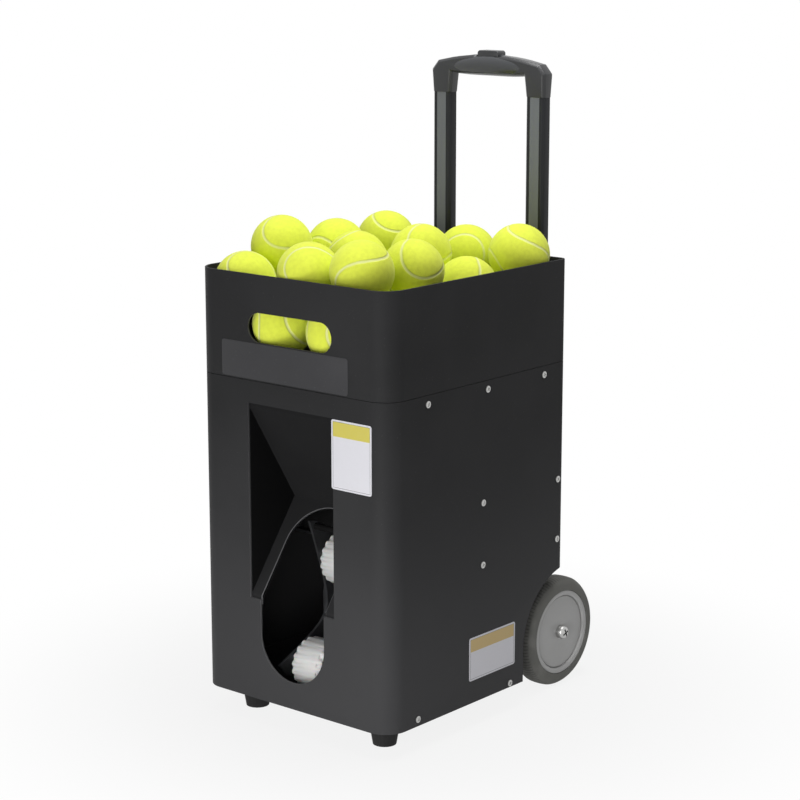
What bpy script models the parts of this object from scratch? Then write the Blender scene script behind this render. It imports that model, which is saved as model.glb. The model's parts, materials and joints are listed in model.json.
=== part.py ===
"""Portable padel ball machine: hopper, ball carousel, tilting two-wheel throwing head, trolley handle.

Metres, +Z up. X is across the machine, -Y is the side that the balls leave, Z = 0 is the ground.
Depths below are measured back from the casing's front face, heights up from the ground.
"""
import math

import bmesh
import bpy
from mathutils import Matrix, Vector

# Clearances
GAP = 0.0003
RUN = 0.0001
WORKING_GAP = 0.003

# Casing and hopper
CASE_WIDTH = 0.265
CASE_DEPTH = 0.296
CASE_WALL = 0.0025
CASE_BOTTOM = 0.027
SEAM_HEIGHT = 0.3725
RIM_HEIGHT = 0.4837
FRONT_CORNER = 0.025
REAR_CORNER = 0.008
REAR_FLANGE = 0.018
SKIRT_DROP = 0.0175

# Hand slot in the hopper, its middle given as a share of the hopper's height
HAND_SLOT_WIDTH = 0.115
HAND_SLOT_HEIGHT = 0.031
HAND_SLOT_SHARE = 0.5054

# Loose balls: a lower layer in staggered rows, and the places (x, depth) of the ones on top
BALL_DIAMETER = 0.066
BALL_GROWTH = 1.08
LOWER_ROWS = 5
LOWER_FIRST_X = -0.060
LOWER_STEP_X = 0.071
LOWER_STAGGER = 0.0355
LOWER_FIRST_DEPTH = 0.036
LOWER_STEP_DEPTH = 0.056
UPPER_PLACES = ((-0.097, 0.036), (-0.0245, 0.0495), (0.042, 0.060), (0.062, 0.124), (-0.032, 0.115),
                (-0.097, 0.1015), (-0.080, 0.166), (0.0225, 0.1775), (0.0865, 0.191), (-0.0315, 0.220),
                (0.032, 0.243), (0.097, 0.2565), (-0.090, 0.258))

# Front opening, recess and outlet slot
OPENING_WIDTH = 0.118
OPENING_BOTTOM = 0.138
OPENING_DROP = 0.024
SLOT_WIDTH = 0.0895
SLOT_BOTTOM = 0.0558
RECESS_DEPTH = 0.0705
RECESS_HEIGHT = 0.235
RECESS_WALL = 0.0025
RECESS_FLANGE = 0.006
ARCH_RISE = 0.070

# Wheels, axle and arches
AXLE_DEPTH = 0.306
TYRE_RADIUS = 0.0615
TYRE_WIDTH = 0.030
TYRE_INSET = 0.0055
HUB_RADIUS = 0.047
HUB_DISC_RADIUS = 0.0400
HUB_GROOVE = 0.0016
AXLE_RADIUS = 0.006
AXLE_CAP_RADIUS = 0.0075
AXLE_CAP_HEIGHT = 0.0060
HUB_DISH = 0.005
ARCH_RADIUS = 0.081
WELL_WALL = 0.0025
WELL_DEPTH = 0.041
AXLE_BRACKET_INSET = 0.0525
AXLE_BRACKET_WIDTH = 0.014
AXLE_BRACKET_HEIGHT = 0.040

# Base, feet and rear panel
TRAY_PLATE = 0.0025
TRAY_FLANGE = 0.014
FOOT_INSET = 0.0415
FOOT_DEPTH = 0.042
FOOT_BOTTOM_RADIUS = 0.0125
FOOT_TOP_RADIUS = 0.017
PANEL_PLATE = 0.0025
CONTROL_WIDTH = 0.088
CONTROL_HEIGHT = 0.120
CONTROL_DROP = 0.1125
CONTROL_PLATE = 0.003
CONTROL_LAP = 0.012

# Controls on the panel, placed from the panel's middle
SWITCH_RISE = 0.032
SWITCH_X = -0.020
SWITCH_WIDTH = 0.020
SWITCH_HEIGHT = 0.026
SWITCH_DEPTH = 0.008
BEZEL_WALL = 0.0025
BEZEL_LIP = 0.002
ROCKER_THROW = 14.0
INLET_X = 0.022
INLET_RADIUS = 0.008
KNOB_DROP = 0.022
KNOB_X = 0.020
KNOB_RADIUS = 0.011
KNOB_HEIGHT = 0.010
KNOB_SHAFT = 0.003
KNOB_SHAFT_LENGTH = 0.012

# Feeder: deck, carousel, floor ring and chute
DECK_PLATE = 0.0027
DECK_RIM = 0.014
CAROUSEL_DEPTH = 0.148
CAROUSEL_SIDE_ROOM = 0.0105
CAROUSEL_LIFT = 0.0125
CAROUSEL_HEIGHT = 0.024
CAROUSEL_BORE_DEPTH = 0.018
FLOOR_PLAY = 0.0015
POCKET_COUNT = 5
POCKET_RADIUS = 0.036
POCKET_CIRCLE = 0.074
FLOOR_PLATE = 0.003
CHUTE_RADIUS = 0.036
CHUTE_WALL = 0.0025
CHUTE_BEND = 0.060
CHUTE_LOW_CENTRE = 0.085
CHUTE_END_TILT = 15.0
CHUTE_FLANGE = 0.008
CHUTE_FLANGE_PLATE = 0.003
FEED_SHAFT_RADIUS = 0.005
FEED_MOTOR_RADIUS = 0.024
FEED_MOTOR_HEIGHT = 0.052

# Throwing head. Local axes: a along the throw, b square to it and up
LAUNCH_ANGLE = 23.6
LAUNCH_LOWEST = 20.0
LAUNCH_HIGHEST = 38.0
THROAT_DEPTH = 0.0698
THROAT_HEIGHT = 0.1161
WHEEL_SPACING = 0.115
THROW_RADIUS = 0.028
THROW_WIDTH = 0.040
THROW_LOBES = 18
THROW_LOBE_DEPTH = 0.0016
THROW_SHAFT_RADIUS = 0.004
THROW_SHOULDER = 0.005
HEAD_CHANNEL = 0.072
HEAD_PLATE = 0.003
HEAD_TIP = 0.086
HEAD_TOE = -0.070
HEAD_FRONT_REACH = -0.047
HEAD_FRONT_ROUND = 0.020
HEAD_BACK = ((0.030, 0.0885), (-0.028, 0.0860), (-0.058, 0.040), (-0.060, 0.010), (-0.074, -0.030),
             (-0.074, -0.042), (-0.034, -0.056), (-0.020, -0.0780), (0.010, -0.0780))
HEAD_TIE_RADIUS = 0.0035
HEAD_TIE_FRONT = (0.028, 0.083)
HEAD_TIE_REAR = (-0.044, 0.055)
GUIDE_START = -0.072
GUIDE_END = -0.036
GUIDE_PLATE = 0.003
HEAD_MOTOR_RADIUS = 0.0245
HEAD_MOTOR_LENGTH = 0.060
HEAD_PIVOT_DEPTH = 0.118
HEAD_PIVOT_HEIGHT = 0.122
PIVOT_PIN_RADIUS = 0.005
PIVOT_BRACKET_X = 0.0465
PIVOT_BRACKET_PLATE = 0.004
PIVOT_BRACKET_FOOT = 0.022
PIVOT_BRACKET_TOE = 0.004
PIVOT_BRACKET_AHEAD = 0.008
PIVOT_BRACKET_BEHIND = 0.022
PINION_BRACKET_BEHIND = 0.014
PIVOT_BOSS_RADIUS = 0.013
PINION_BOSS_RADIUS = 0.020

# Elevation gears
GEAR_MODULE = 0.002
PINION_TEETH = 14
SECTOR_TEETH = 60
GEAR_WIDTH = 0.005
PINION_DIRECTION = -25.0
ELEVATION_MOTOR_RADIUS = 0.0165
ELEVATION_MOTOR_LENGTH = 0.052
ELEVATION_SHAFT_RADIUS = 0.003
ELEVATION_SHAFT_LENGTH = 0.012

# Battery and controller, each in a bracket on the casing's side
PACK_LENGTH = 0.145
PACK_WIDTH = 0.065
PACK_DEPTH = 0.218
PACK_BOTTOM = 0.1674
PACK_TOP = 0.2508
PACK_SIDE_GAP = 0.0105
PACK_END_GAP = 0.006
PACK_PLATE = 0.003

# Trolley handle
TUBE_X = 0.0648
TUBE_DEPTH = 0.331
TUBE_WIDTH = 0.0235
TUBE_THICK = 0.0145
TUBE_WALL = 0.0015
TUBE_CHAMFER = 0.0045
SLEEVE_WALL = 0.0025
SLEEVE_BELOW = 0.030
SLEEVE_ABOVE = 0.025
TUBE_OVERLAP = 0.080
GRIP_TOP = 0.693
GRIP_HEIGHT = 0.025
GRIP_CROWN = 0.010
GRIP_SOCKET_DROP = 0.044
GRIP_SOCKET_DEPTH = 0.014
GRIP_HALF_WIDTH = 0.078
GRIP_THICK = 0.025
GRIP_SOCKET_WALL = 0.0025
BUTTON_LENGTH = 0.040
BUTTON_WIDTH = 0.014
BUTTON_PROUD = 0.004
BUTTON_DEPTH = 0.005
LOWER_BRACKET_LEVEL = 0.135
UPPER_BRACKET_RISE = 0.0425
HANDLE_BRACKET_HEIGHT = 0.036
HANDLE_BRACKET_WALL = 0.004

# Derived places
WHOLE_DEPTH = AXLE_DEPTH + TYRE_RADIUS
FRONT_Y = -WHOLE_DEPTH / 2
HALF_WIDTH = CASE_WIDTH / 2
REAR_Y = FRONT_Y + CASE_DEPTH
SKIRT_HALF = HALF_WIDTH - CASE_WALL - GAP
SKIRT_BOTTOM = SEAM_HEIGHT - SKIRT_DROP
HAND_SLOT_LEVEL = SEAM_HEIGHT + (RIM_HEIGHT - SEAM_HEIGHT) * HAND_SLOT_SHARE
OPENING_TOP = SEAM_HEIGHT - OPENING_DROP
DECK_BOTTOM = SKIRT_BOTTOM + GAP
DECK_TOP = DECK_BOTTOM + DECK_PLATE
PANEL_REAR_Y = REAR_Y - CASE_WALL - GAP
TRAY_TOP = CASE_BOTTOM + TRAY_PLATE
AXLE_Y = FRONT_Y + AXLE_DEPTH
WHEEL_INNER_X = HALF_WIDTH - TYRE_INSET - TYRE_WIDTH
WELL_INNER_X = HALF_WIDTH - WELL_DEPTH
AXLE_BRACKET_X = HALF_WIDTH - AXLE_BRACKET_INSET
AXLE_REACH = WHEEL_INNER_X + TYRE_WIDTH - HUB_DISH + 0.0005
AXLE_HEIGHT = TYRE_RADIUS
FOOT_X = HALF_WIDTH - FOOT_INSET
CONTROL_LEVEL = SEAM_HEIGHT - CONTROL_DROP
SWITCH_LEVEL = CONTROL_LEVEL + SWITCH_RISE
KNOB_LEVEL = CONTROL_LEVEL - KNOB_DROP
CAROUSEL_Y = FRONT_Y + CAROUSEL_DEPTH
CAROUSEL_RADIUS = HALF_WIDTH - CAROUSEL_SIDE_ROOM
CAROUSEL_BOTTOM = DECK_TOP + CAROUSEL_LIFT
CAROUSEL_TOP = CAROUSEL_BOTTOM + CAROUSEL_HEIGHT
DROP_Y = CAROUSEL_Y + POCKET_CIRCLE
TUBE_Y = FRONT_Y + TUBE_DEPTH
UPPER_BRACKET_LEVEL = SEAM_HEIGHT + UPPER_BRACKET_RISE
SLEEVE_BOTTOM = LOWER_BRACKET_LEVEL - SLEEVE_BELOW
SLEEVE_TOP = UPPER_BRACKET_LEVEL + SLEEVE_ABOVE
GRIP_UNDERSIDE = GRIP_TOP - GRIP_HEIGHT
GRIP_SOCKET_BOTTOM = GRIP_TOP - GRIP_SOCKET_DROP
PIVOT = Vector((0, FRONT_Y + HEAD_PIVOT_DEPTH, HEAD_PIVOT_HEIGHT))
THROAT = Vector((0, FRONT_Y + THROAT_DEPTH, THROAT_HEIGHT))
THROW = Vector((0, -math.cos(math.radians(LAUNCH_ANGLE)), math.sin(math.radians(LAUNCH_ANGLE))))
ACROSS = Vector((0, math.sin(math.radians(LAUNCH_ANGLE)), math.cos(math.radians(LAUNCH_ANGLE))))
PLATE_INNER = HEAD_CHANNEL / 2
PLATE_OUTER = PLATE_INNER + HEAD_PLATE
SECTOR_RADIUS = GEAR_MODULE * SECTOR_TEETH / 2
PINION_RADIUS = GEAR_MODULE * PINION_TEETH / 2
PINION_AT = PIVOT + (SECTOR_RADIUS + PINION_RADIUS) * Vector(
    (0, math.cos(math.radians(PINION_DIRECTION)), math.sin(math.radians(PINION_DIRECTION))))


def clear_scene():
    for old in list(bpy.data.objects):
        bpy.data.objects.remove(old, do_unlink=True)


def srgb(red, green, blue):
    """Linear colour of an 8-bit display colour."""
    shares = (red / 255, green / 255, blue / 255)
    return tuple(((c + 0.055) / 1.055) ** 2.4 if c > 0.04 else c / 12.92 for c in shares)


def material(name, colour, roughness, metallic=0.0):
    mat = bpy.data.materials.new(name)
    mat.use_nodes = True
    shader = mat.node_tree.nodes["Principled BSDF"]
    shader.inputs["Base Color"].default_value = (*srgb(*colour), 1)
    shader.inputs["Roughness"].default_value = roughness
    shader.inputs["Metallic"].default_value = metallic
    return mat


def finish_mesh(bm, name, smooth=False):
    """Turn a bmesh into a named object with its faces pointing out."""
    bmesh.ops.remove_doubles(bm, verts=bm.verts, dist=1e-6)
    bmesh.ops.recalc_face_normals(bm, faces=bm.faces)
    mesh = bpy.data.meshes.new(name)
    bm.to_mesh(mesh)
    bm.free()
    if smooth:
        mesh.shade_smooth()
        mesh.set_sharp_from_angle(angle=math.radians(35))
    obj = bpy.data.objects.new(name, mesh)
    bpy.context.scene.collection.objects.link(obj)
    return obj


def add_prism(bm, outline, axis, low, high):
    """Extrude a flat outline. The outline's two numbers follow the other two axes in X, Y, Z order."""
    def point(pair, along):
        spot = list(pair)
        spot.insert("XYZ".index(axis), along)
        return spot

    verts = [bm.verts.new(point(pair, low)) for pair in outline]
    face = bm.faces.new(verts)
    grown = bmesh.ops.extrude_face_region(bm, geom=[face])
    top = [v for v in grown["geom"] if isinstance(v, bmesh.types.BMVert)]
    shift = Vector(point((0, 0), high - low))
    bmesh.ops.translate(bm, verts=top, vec=shift)


def prism(name, outline, axis, low, high, smooth=False):
    bm = bmesh.new()
    add_prism(bm, outline, axis, low, high)
    return finish_mesh(bm, name, smooth)


def add_box(bm, low, high):
    add_prism(bm, [(low[0], low[1]), (high[0], low[1]), (high[0], high[1]), (low[0], high[1])],
              "Z", low[2], high[2])


def boxes(name, pairs):
    """One object of separate or overlapping boxes, each given by its low and high corner."""
    bm = bmesh.new()
    for low, high in pairs:
        add_box(bm, low, high)
    return finish_mesh(bm, name)


def add_turned(bm, profile, axis, centre, steps):
    """Spin a closed profile of (radius, place along the axis) pairs round an axis through centre."""
    along = {"X": Vector((1, 0, 0)), "Y": Vector((0, 1, 0)), "Z": Vector((0, 0, 1))}[axis]
    out = {"X": Vector((0, 0, 1)), "Y": Vector((0, 0, 1)), "Z": Vector((0, 1, 0))}[axis]
    centre = Vector(centre)
    before = set(bm.verts)
    ring = [bm.verts.new(centre + out * r + along * t) for r, t in profile]
    on_axis = {v: (v.co - centre).cross(along).length < 1e-9 for v in ring}
    edges = [bm.edges.new((a, b)) for a, b in zip(ring, ring[1:] + ring[:1])
             if not (on_axis[a] and on_axis[b])]
    bmesh.ops.spin(bm, geom=ring + edges, cent=centre, axis=along, dvec=(0, 0, 0),
                   angle=math.tau, steps=steps, use_merge=True)
    made = [v for v in bm.verts if v not in before]
    bmesh.ops.remove_doubles(bm, verts=made, dist=1e-6)


def turned(name, profile, axis, centre, steps):
    bm = bmesh.new()
    add_turned(bm, profile, axis, centre, steps)
    return finish_mesh(bm, name, smooth=True)


def disc(radius, low, high):
    """Profile of a solid cylinder for turned()."""
    return [(0, low), (radius, low), (radius, high), (0, high)]


def ring(inner, outer, low, high):
    return [(inner, low), (outer, low), (outer, high), (inner, high)]


def rounded_rectangle(x_low, x_high, y_low, y_high, low_corner, high_corner, steps=6):
    """Counter-clockwise outline with one radius at the low-y corners and one at the high-y corners."""
    corners = [(x_high - low_corner, y_low + low_corner, low_corner, -90),
               (x_high - high_corner, y_high - high_corner, high_corner, 0),
               (x_low + high_corner, y_high - high_corner, high_corner, 90),
               (x_low + low_corner, y_low + low_corner, low_corner, 180)]
    points = []
    for cx, cy, radius, start in corners:
        points += arc(cx, cy, radius, start, start + 90, steps)
    return points


def arc(cx, cy, radius, start, end, steps):
    return [(cx + radius * math.cos(math.radians(start + (end - start) * i / steps)),
             cy + radius * math.sin(math.radians(start + (end - start) * i / steps)))
            for i in range(steps + 1)]


def circle(cx, cy, radius, steps):
    return arc(cx, cy, radius, 0, 360, steps)[:-1]


def case_outline(inset, steps=4):
    """The casing's plan outline, moved in from the outer face by inset."""
    return rounded_rectangle(-HALF_WIDTH + inset, HALF_WIDTH - inset, FRONT_Y + inset, REAR_Y - inset,
                             FRONT_CORNER - inset, max(REAR_CORNER - inset, 0.001), steps)


def cut(obj, *cutters, operation="DIFFERENCE", solver="EXACT"):
    """Boolean each cutter into obj and keep the cutters as hidden guides."""
    for cutter in cutters:
        boolean = obj.modifiers.new(cutter.name, "BOOLEAN")
        boolean.operation = operation
        boolean.object = cutter
        boolean.solver = solver
        cutter.hide_render = True
        cutter.display_type = "WIRE"
    return obj


def join(obj, *others):
    return cut(obj, *others, operation="UNION")


def give(obj, mat):
    obj.data.materials.clear()
    obj.data.materials.append(mat)
    return obj


def hang_on(empty, *objects):
    """Parent pieces to a joint's empty and move their origins onto it, leaving them where they are."""
    for obj in objects:
        obj.data.transform(Matrix.Translation(-world_place(empty)))
        obj.parent = empty


def world_place(empty):
    place = Vector(empty.location)
    above = empty.parent
    while above:
        place += Vector(above.location)
        above = above.parent
    return place


def joint_empty(name, place, parent=None):
    empty = bpy.data.objects.new(name, None)
    empty.empty_display_size = 0.02
    bpy.context.scene.collection.objects.link(empty)
    empty.location = Vector(place) - (world_place(parent) if parent else Vector((0, 0, 0)))
    empty.parent = parent
    return empty


def head_point(a, b):
    """World (y, z) of a point of the throwing head's local axes."""
    spot = THROAT + THROW * a + ACROSS * b
    return spot.y, spot.z


def slot_outline(x_half, low_centre, high, steps=8):
    """Upright slot outline in X and Z: round bottom about low_centre, flat top at high."""
    bottom = arc(0, low_centre, x_half, 180, 360, 2 * steps)
    return bottom + [(x_half, high), (-x_half, high)]


def stadium(x_half, z_mid, height, steps=8):
    end = height / 2
    return (arc(x_half - end, z_mid, end, -90, 90, steps)
            + arc(-x_half + end, z_mid, end, 90, 270, steps))


def arch_outline(radius):
    """Wheel arch in Y and Z: a quarter round over the axle, an upright edge down past the casing."""
    top = arc(AXLE_Y, AXLE_HEIGHT, radius, 180, 90, 10)
    beyond = REAR_Y + 0.02
    below = CASE_BOTTOM - 0.02
    return [(AXLE_Y - radius, below)] + top + [(beyond, AXLE_HEIGHT + radius), (beyond, below)]


def keep_inside(name):
    """Guide block that fills the casing's inside, corners and all, less a small gap."""
    return prism(name, case_outline(CASE_WALL + GAP), "Z", 0, RIM_HEIGHT)


def casing(mat):
    """Front and two sides in one wrap, with short flanges turned in at the rear."""
    wrap = prism("casing_wrap", case_outline(0), "Z", CASE_BOTTOM, SEAM_HEIGHT - GAP, smooth=True)
    inner = prism("casing_hollow", case_outline(CASE_WALL), "Z", CASE_BOTTOM - 0.01, SEAM_HEIGHT + 0.01)
    window = HALF_WIDTH - REAR_FLANGE
    rear = boxes("rear_window", [((-window, REAR_Y - 0.01, CASE_BOTTOM - 0.01),
                                  (window, REAR_Y + 0.01, SEAM_HEIGHT + 0.01))])
    front_low = FRONT_Y - 0.01
    front_high = FRONT_Y + 0.012
    half = OPENING_WIDTH / 2
    opening = prism("front_opening", [(-half, OPENING_BOTTOM), (half, OPENING_BOTTOM),
                                      (half, OPENING_TOP), (-half, OPENING_TOP)], "Y", front_low, front_high)
    slot = prism("outlet_slot", slot_outline(SLOT_WIDTH / 2, SLOT_BOTTOM + SLOT_WIDTH / 2,
                                             OPENING_BOTTOM + 0.01), "Y", front_low, front_high)
    arch = prism("arch_cutter", arch_outline(ARCH_RADIUS), "X", -HALF_WIDTH - 0.01, HALF_WIDTH + 0.01)
    cut(wrap, inner, rear, opening, slot, arch)
    return give(wrap, mat)


def hopper(mat):
    """Open-topped hopper, stepped in at the bottom so that its skirt sits inside the wrap."""
    shell = prism("hopper_shell", case_outline(0), "Z", SEAM_HEIGHT, RIM_HEIGHT, smooth=True)
    skirt = prism("hopper_skirt", case_outline(CASE_WALL + GAP), "Z", SKIRT_BOTTOM, SEAM_HEIGHT + 0.002)
    join(shell, skirt)
    lower = prism("skirt_hollow", case_outline(2 * CASE_WALL + GAP), "Z",
                  SKIRT_BOTTOM - 0.01, SEAM_HEIGHT + 0.003)
    upper = prism("hopper_hollow", case_outline(CASE_WALL), "Z", SEAM_HEIGHT + 0.002, RIM_HEIGHT + 0.01)
    slot = prism("hand_slot_cutter", stadium(HAND_SLOT_WIDTH / 2, HAND_SLOT_LEVEL, HAND_SLOT_HEIGHT),
                 "Y", FRONT_Y - 0.01, FRONT_Y + 0.01)
    cut(shell, lower, upper, slot)
    return give(shell, mat)


def rear_panel(mat):
    """Flat panel inside the rear flanges, cut away at the wheel wells and open behind the controls."""
    half = SKIRT_HALF
    narrow = WELL_INNER_X - GAP
    step = AXLE_HEIGHT + ARCH_RADIUS + WELL_WALL + 2 * GAP
    outline = [(-narrow, TRAY_TOP + GAP), (narrow, TRAY_TOP + GAP), (narrow, step), (half, step),
               (half, SKIRT_BOTTOM - GAP), (-half, SKIRT_BOTTOM - GAP), (-half, step), (-narrow, step)]
    panel = prism("rear_panel", outline, "Y", PANEL_REAR_Y - PANEL_PLATE, PANEL_REAR_Y)
    window_x = CONTROL_WIDTH / 2 - CONTROL_LAP
    window_z = CONTROL_HEIGHT / 2 - CONTROL_LAP
    window = boxes("control_window", [((-window_x, REAR_Y - 0.02, CONTROL_LEVEL - window_z),
                                       (window_x, REAR_Y + 0.02, CONTROL_LEVEL + window_z))])
    cut(panel, window)
    cut(panel, keep_inside("panel_room"), operation="INTERSECT")
    return give(panel, mat)


def base_tray(mat):
    """Floor plate with turned-up sides, notched round the wheel wells."""
    inset = CASE_WALL + GAP
    tray = prism("base_tray", case_outline(inset), "Z", CASE_BOTTOM, TRAY_TOP + TRAY_FLANGE)
    hollow = prism("tray_hollow", case_outline(inset + TRAY_PLATE), "Z",
                   TRAY_TOP, TRAY_TOP + TRAY_FLANGE + 0.01)
    well_front = AXLE_Y - ARCH_RADIUS - WELL_WALL - 2 * GAP
    notch_low = CASE_BOTTOM - 0.01
    notch_high = TRAY_TOP + TRAY_FLANGE + 0.02
    notch_in = WELL_INNER_X - GAP
    notch_out = HALF_WIDTH + 0.01
    notches = boxes("well_notches", [((low, well_front, notch_low), (high, REAR_Y + 0.02, notch_high))
                                     for low, high in ((-notch_out, -notch_in), (notch_in, notch_out))])
    rear = boxes("tray_rear_gap", [((-WELL_INNER_X, PANEL_REAR_Y - PANEL_PLATE - GAP, TRAY_TOP),
                                    (WELL_INNER_X, REAR_Y + 0.02, notch_high))])
    slot_clear = boxes("tray_slot_gap", [((-SLOT_WIDTH / 2, FRONT_Y - 0.01, TRAY_TOP + 0.004),
                                          (SLOT_WIDTH / 2, FRONT_Y + 0.01, notch_high))])
    cut(tray, hollow, notches, rear, slot_clear)
    return give(tray, mat)


def recess_section(grow, front):
    """V section of the recess in Y and Z, grown outwards, starting at depth front."""
    return [(front, OPENING_BOTTOM - grow * 1.25), (FRONT_Y + RECESS_DEPTH + grow * 1.1, RECESS_HEIGHT),
            (front, OPENING_TOP + grow * 1.2)]


def front_recess(mat):
    """Moulded funnel behind the front opening: raked roof, upright cheeks, raked sill with the ball arch."""
    half = OPENING_WIDTH / 2
    back = FRONT_Y + CASE_WALL + GAP
    cheek = half + RECESS_WALL
    body = prism("front_recess", recess_section(RECESS_WALL, back), "X", -cheek, cheek)
    edge = cheek + RECESS_FLANGE
    flange = boxes("recess_flange", [((-edge, back, OPENING_BOTTOM - RECESS_FLANGE),
                                      (edge, back + RECESS_WALL, OPENING_TOP + RECESS_FLANGE))])
    join(body, flange)
    run = math.hypot(RECESS_DEPTH, RECESS_HEIGHT - OPENING_BOTTOM)
    ahead = FRONT_Y - 0.02
    mouth = [(ahead, OPENING_TOP), (ahead, OPENING_BOTTOM)]
    hollow = prism("recess_hollow", recess_section(0, FRONT_Y) + mouth, "X", -half, half)
    slope = math.atan2(RECESS_HEIGHT - OPENING_BOTTOM, RECESS_DEPTH)
    radius = SLOT_WIDTH / 2
    outline = [(-radius, -0.03)] + [(radius, -0.03)] + arc(0, ARCH_RISE, radius, 0, 180, 20)
    bm = bmesh.new()
    add_prism(bm, outline, "Z", -0.03, 0.02)
    turn = Matrix.Translation((0, FRONT_Y, OPENING_BOTTOM)) @ Matrix.Rotation(slope, 4, "X")
    bmesh.ops.transform(bm, matrix=turn, verts=bm.verts)
    arch = finish_mesh(bm, "arch_hole")
    assert ARCH_RISE + radius < run
    slot = boxes("recess_slot_gap", [((-radius, FRONT_Y - 0.01, SLOT_BOTTOM),
                                      (radius, back + 0.02, OPENING_BOTTOM))])
    cut(body, hollow, arch, slot)
    return give(body, mat)


def wheel_well(side, mat):
    """Mudguard that closes the wheel arch: an upright inner wall and a curved sheet over the tyre."""
    name = "wheel_well_left" if side < 0 else "wheel_well_right"
    x_in = side * WELL_INNER_X
    x_out = side * SKIRT_HALF
    low, high = sorted((x_in, x_out))
    well = prism(name, arch_outline(ARCH_RADIUS + GAP + WELL_WALL), "X", low, high, smooth=True)
    inner = side * (WELL_INNER_X + WELL_WALL)
    low, high = sorted((inner, side * (HALF_WIDTH + 0.01)))
    hollow = prism(name + "_hollow", arch_outline(ARCH_RADIUS + GAP), "X", low, high)
    beyond = REAR_Y + 0.05
    trim = prism(name + "_trim", [(FRONT_Y, 0), (beyond, 0), (beyond, RIM_HEIGHT), (PANEL_REAR_Y, RIM_HEIGHT),
                                  (PANEL_REAR_Y, CASE_BOTTOM), (FRONT_Y, CASE_BOTTOM)],
                 "X", -HALF_WIDTH, HALF_WIDTH)
    cut(well, hollow, trim)
    cut(well, keep_inside(name + "_room"), operation="INTERSECT")
    return give(well, mat)


def foot(side, mat):
    name = "foot_left" if side < 0 else "foot_right"
    top = CASE_BOTTOM - GAP
    profile = [(0, 0), (FOOT_BOTTOM_RADIUS, 0), (FOOT_TOP_RADIUS, top), (0, top)]
    return give(turned(name, profile, "Z", (side * FOOT_X, FRONT_Y + FOOT_DEPTH, 0), 20), mat)


def feeder_deck(mat):
    """Floor of the feeder, a shallow tray with the drop hole and the carousel shaft's hole."""
    inset = 2 * CASE_WALL + 2 * GAP
    deck = prism("feeder_deck", case_outline(inset), "Z", DECK_BOTTOM, DECK_TOP + DECK_RIM)
    hollow = prism("deck_hollow", case_outline(inset + DECK_PLATE), "Z", DECK_TOP, DECK_TOP + DECK_RIM + 0.01)
    drop = prism("drop_hole", circle(0, DROP_Y, POCKET_RADIUS, 24), "Z", DECK_BOTTOM - 0.01, DECK_TOP + 0.01)
    shaft = prism("deck_shaft_hole", circle(0, CAROUSEL_Y, FEED_SHAFT_RADIUS + WORKING_GAP, 16), "Z",
                  DECK_BOTTOM - 0.01, DECK_TOP + 0.01)
    cut(deck, hollow, drop, shaft)
    return give(deck, mat)


def hopper_floor(mat):
    """Floor ring round the carousel: a flat plate that fills the corners, on a round skirt."""
    inset = CASE_WALL + GAP
    low = DECK_TOP + DECK_RIM + GAP
    bore = CAROUSEL_RADIUS + FLOOR_PLAY
    plate = prism("hopper_floor", case_outline(inset), "Z", CAROUSEL_TOP - FLOOR_PLATE, CAROUSEL_TOP)
    legs = turned("floor_skirt", ring(bore, bore + CASE_WALL, low, CAROUSEL_TOP - FLOOR_PLATE / 2), "Z",
                  (0, CAROUSEL_Y, 0), 32)
    join(plate, legs)
    hole = prism("floor_bore", circle(0, CAROUSEL_Y, bore, 32), "Z", low - 0.01, CAROUSEL_TOP + 0.01)
    cut(plate, hole)
    return give(plate, mat)


def carousel(mat):
    """Ball carousel: a solid star whose open pockets sweep the balls round to the drop hole."""
    half_span = math.degrees(math.asin(POCKET_RADIUS / CAROUSEL_RADIUS))
    pitch = 360 / POCKET_COUNT
    outline = []
    for k in range(POCKET_COUNT):
        heading = 90 + pitch * k
        x = POCKET_CIRCLE * math.cos(math.radians(heading))
        y = CAROUSEL_Y + POCKET_CIRCLE * math.sin(math.radians(heading))
        outline += arc(x, y, POCKET_RADIUS, heading - 90, heading - 270, 10)
        outline += arc(0, CAROUSEL_Y, CAROUSEL_RADIUS, heading + half_span, heading + pitch - half_span, 4)
    body = prism("ball_carousel", outline, "Z", CAROUSEL_BOTTOM, CAROUSEL_TOP, smooth=True)
    shaft = prism("carousel_bore", circle(0, CAROUSEL_Y, FEED_SHAFT_RADIUS + GAP, 16), "Z",
                  CAROUSEL_BOTTOM - 0.01, CAROUSEL_BOTTOM + CAROUSEL_BORE_DEPTH)
    cut(body, shaft)
    return give(body, mat)


def feed_motor(mat_motor, mat_shaft):
    """Upright gearmotor under the deck and the shaft that turns the carousel."""
    top = DECK_BOTTOM - GAP
    collar = 0.006
    r = FEED_MOTOR_RADIUS
    bore = FEED_SHAFT_RADIUS + RUN
    profile = [(0, top - FEED_MOTOR_HEIGHT), (r * 0.8, top - FEED_MOTOR_HEIGHT), (r * 0.8, top - 0.024),
               (r, top - 0.024), (r, top), (bore, top), (bore, top - collar), (0, top - collar)]
    motor = give(turned("carousel_gearmotor", profile, "Z", (0, CAROUSEL_Y, 0), 16), mat_motor)
    shaft_top = CAROUSEL_BOTTOM + CAROUSEL_BORE_DEPTH - GAP
    shaft = turned("carousel_shaft", disc(FEED_SHAFT_RADIUS, top - collar + GAP, shaft_top),
                   "Z", (0, CAROUSEL_Y, 0), 16)
    return motor, give(shaft, mat_shaft)


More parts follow.
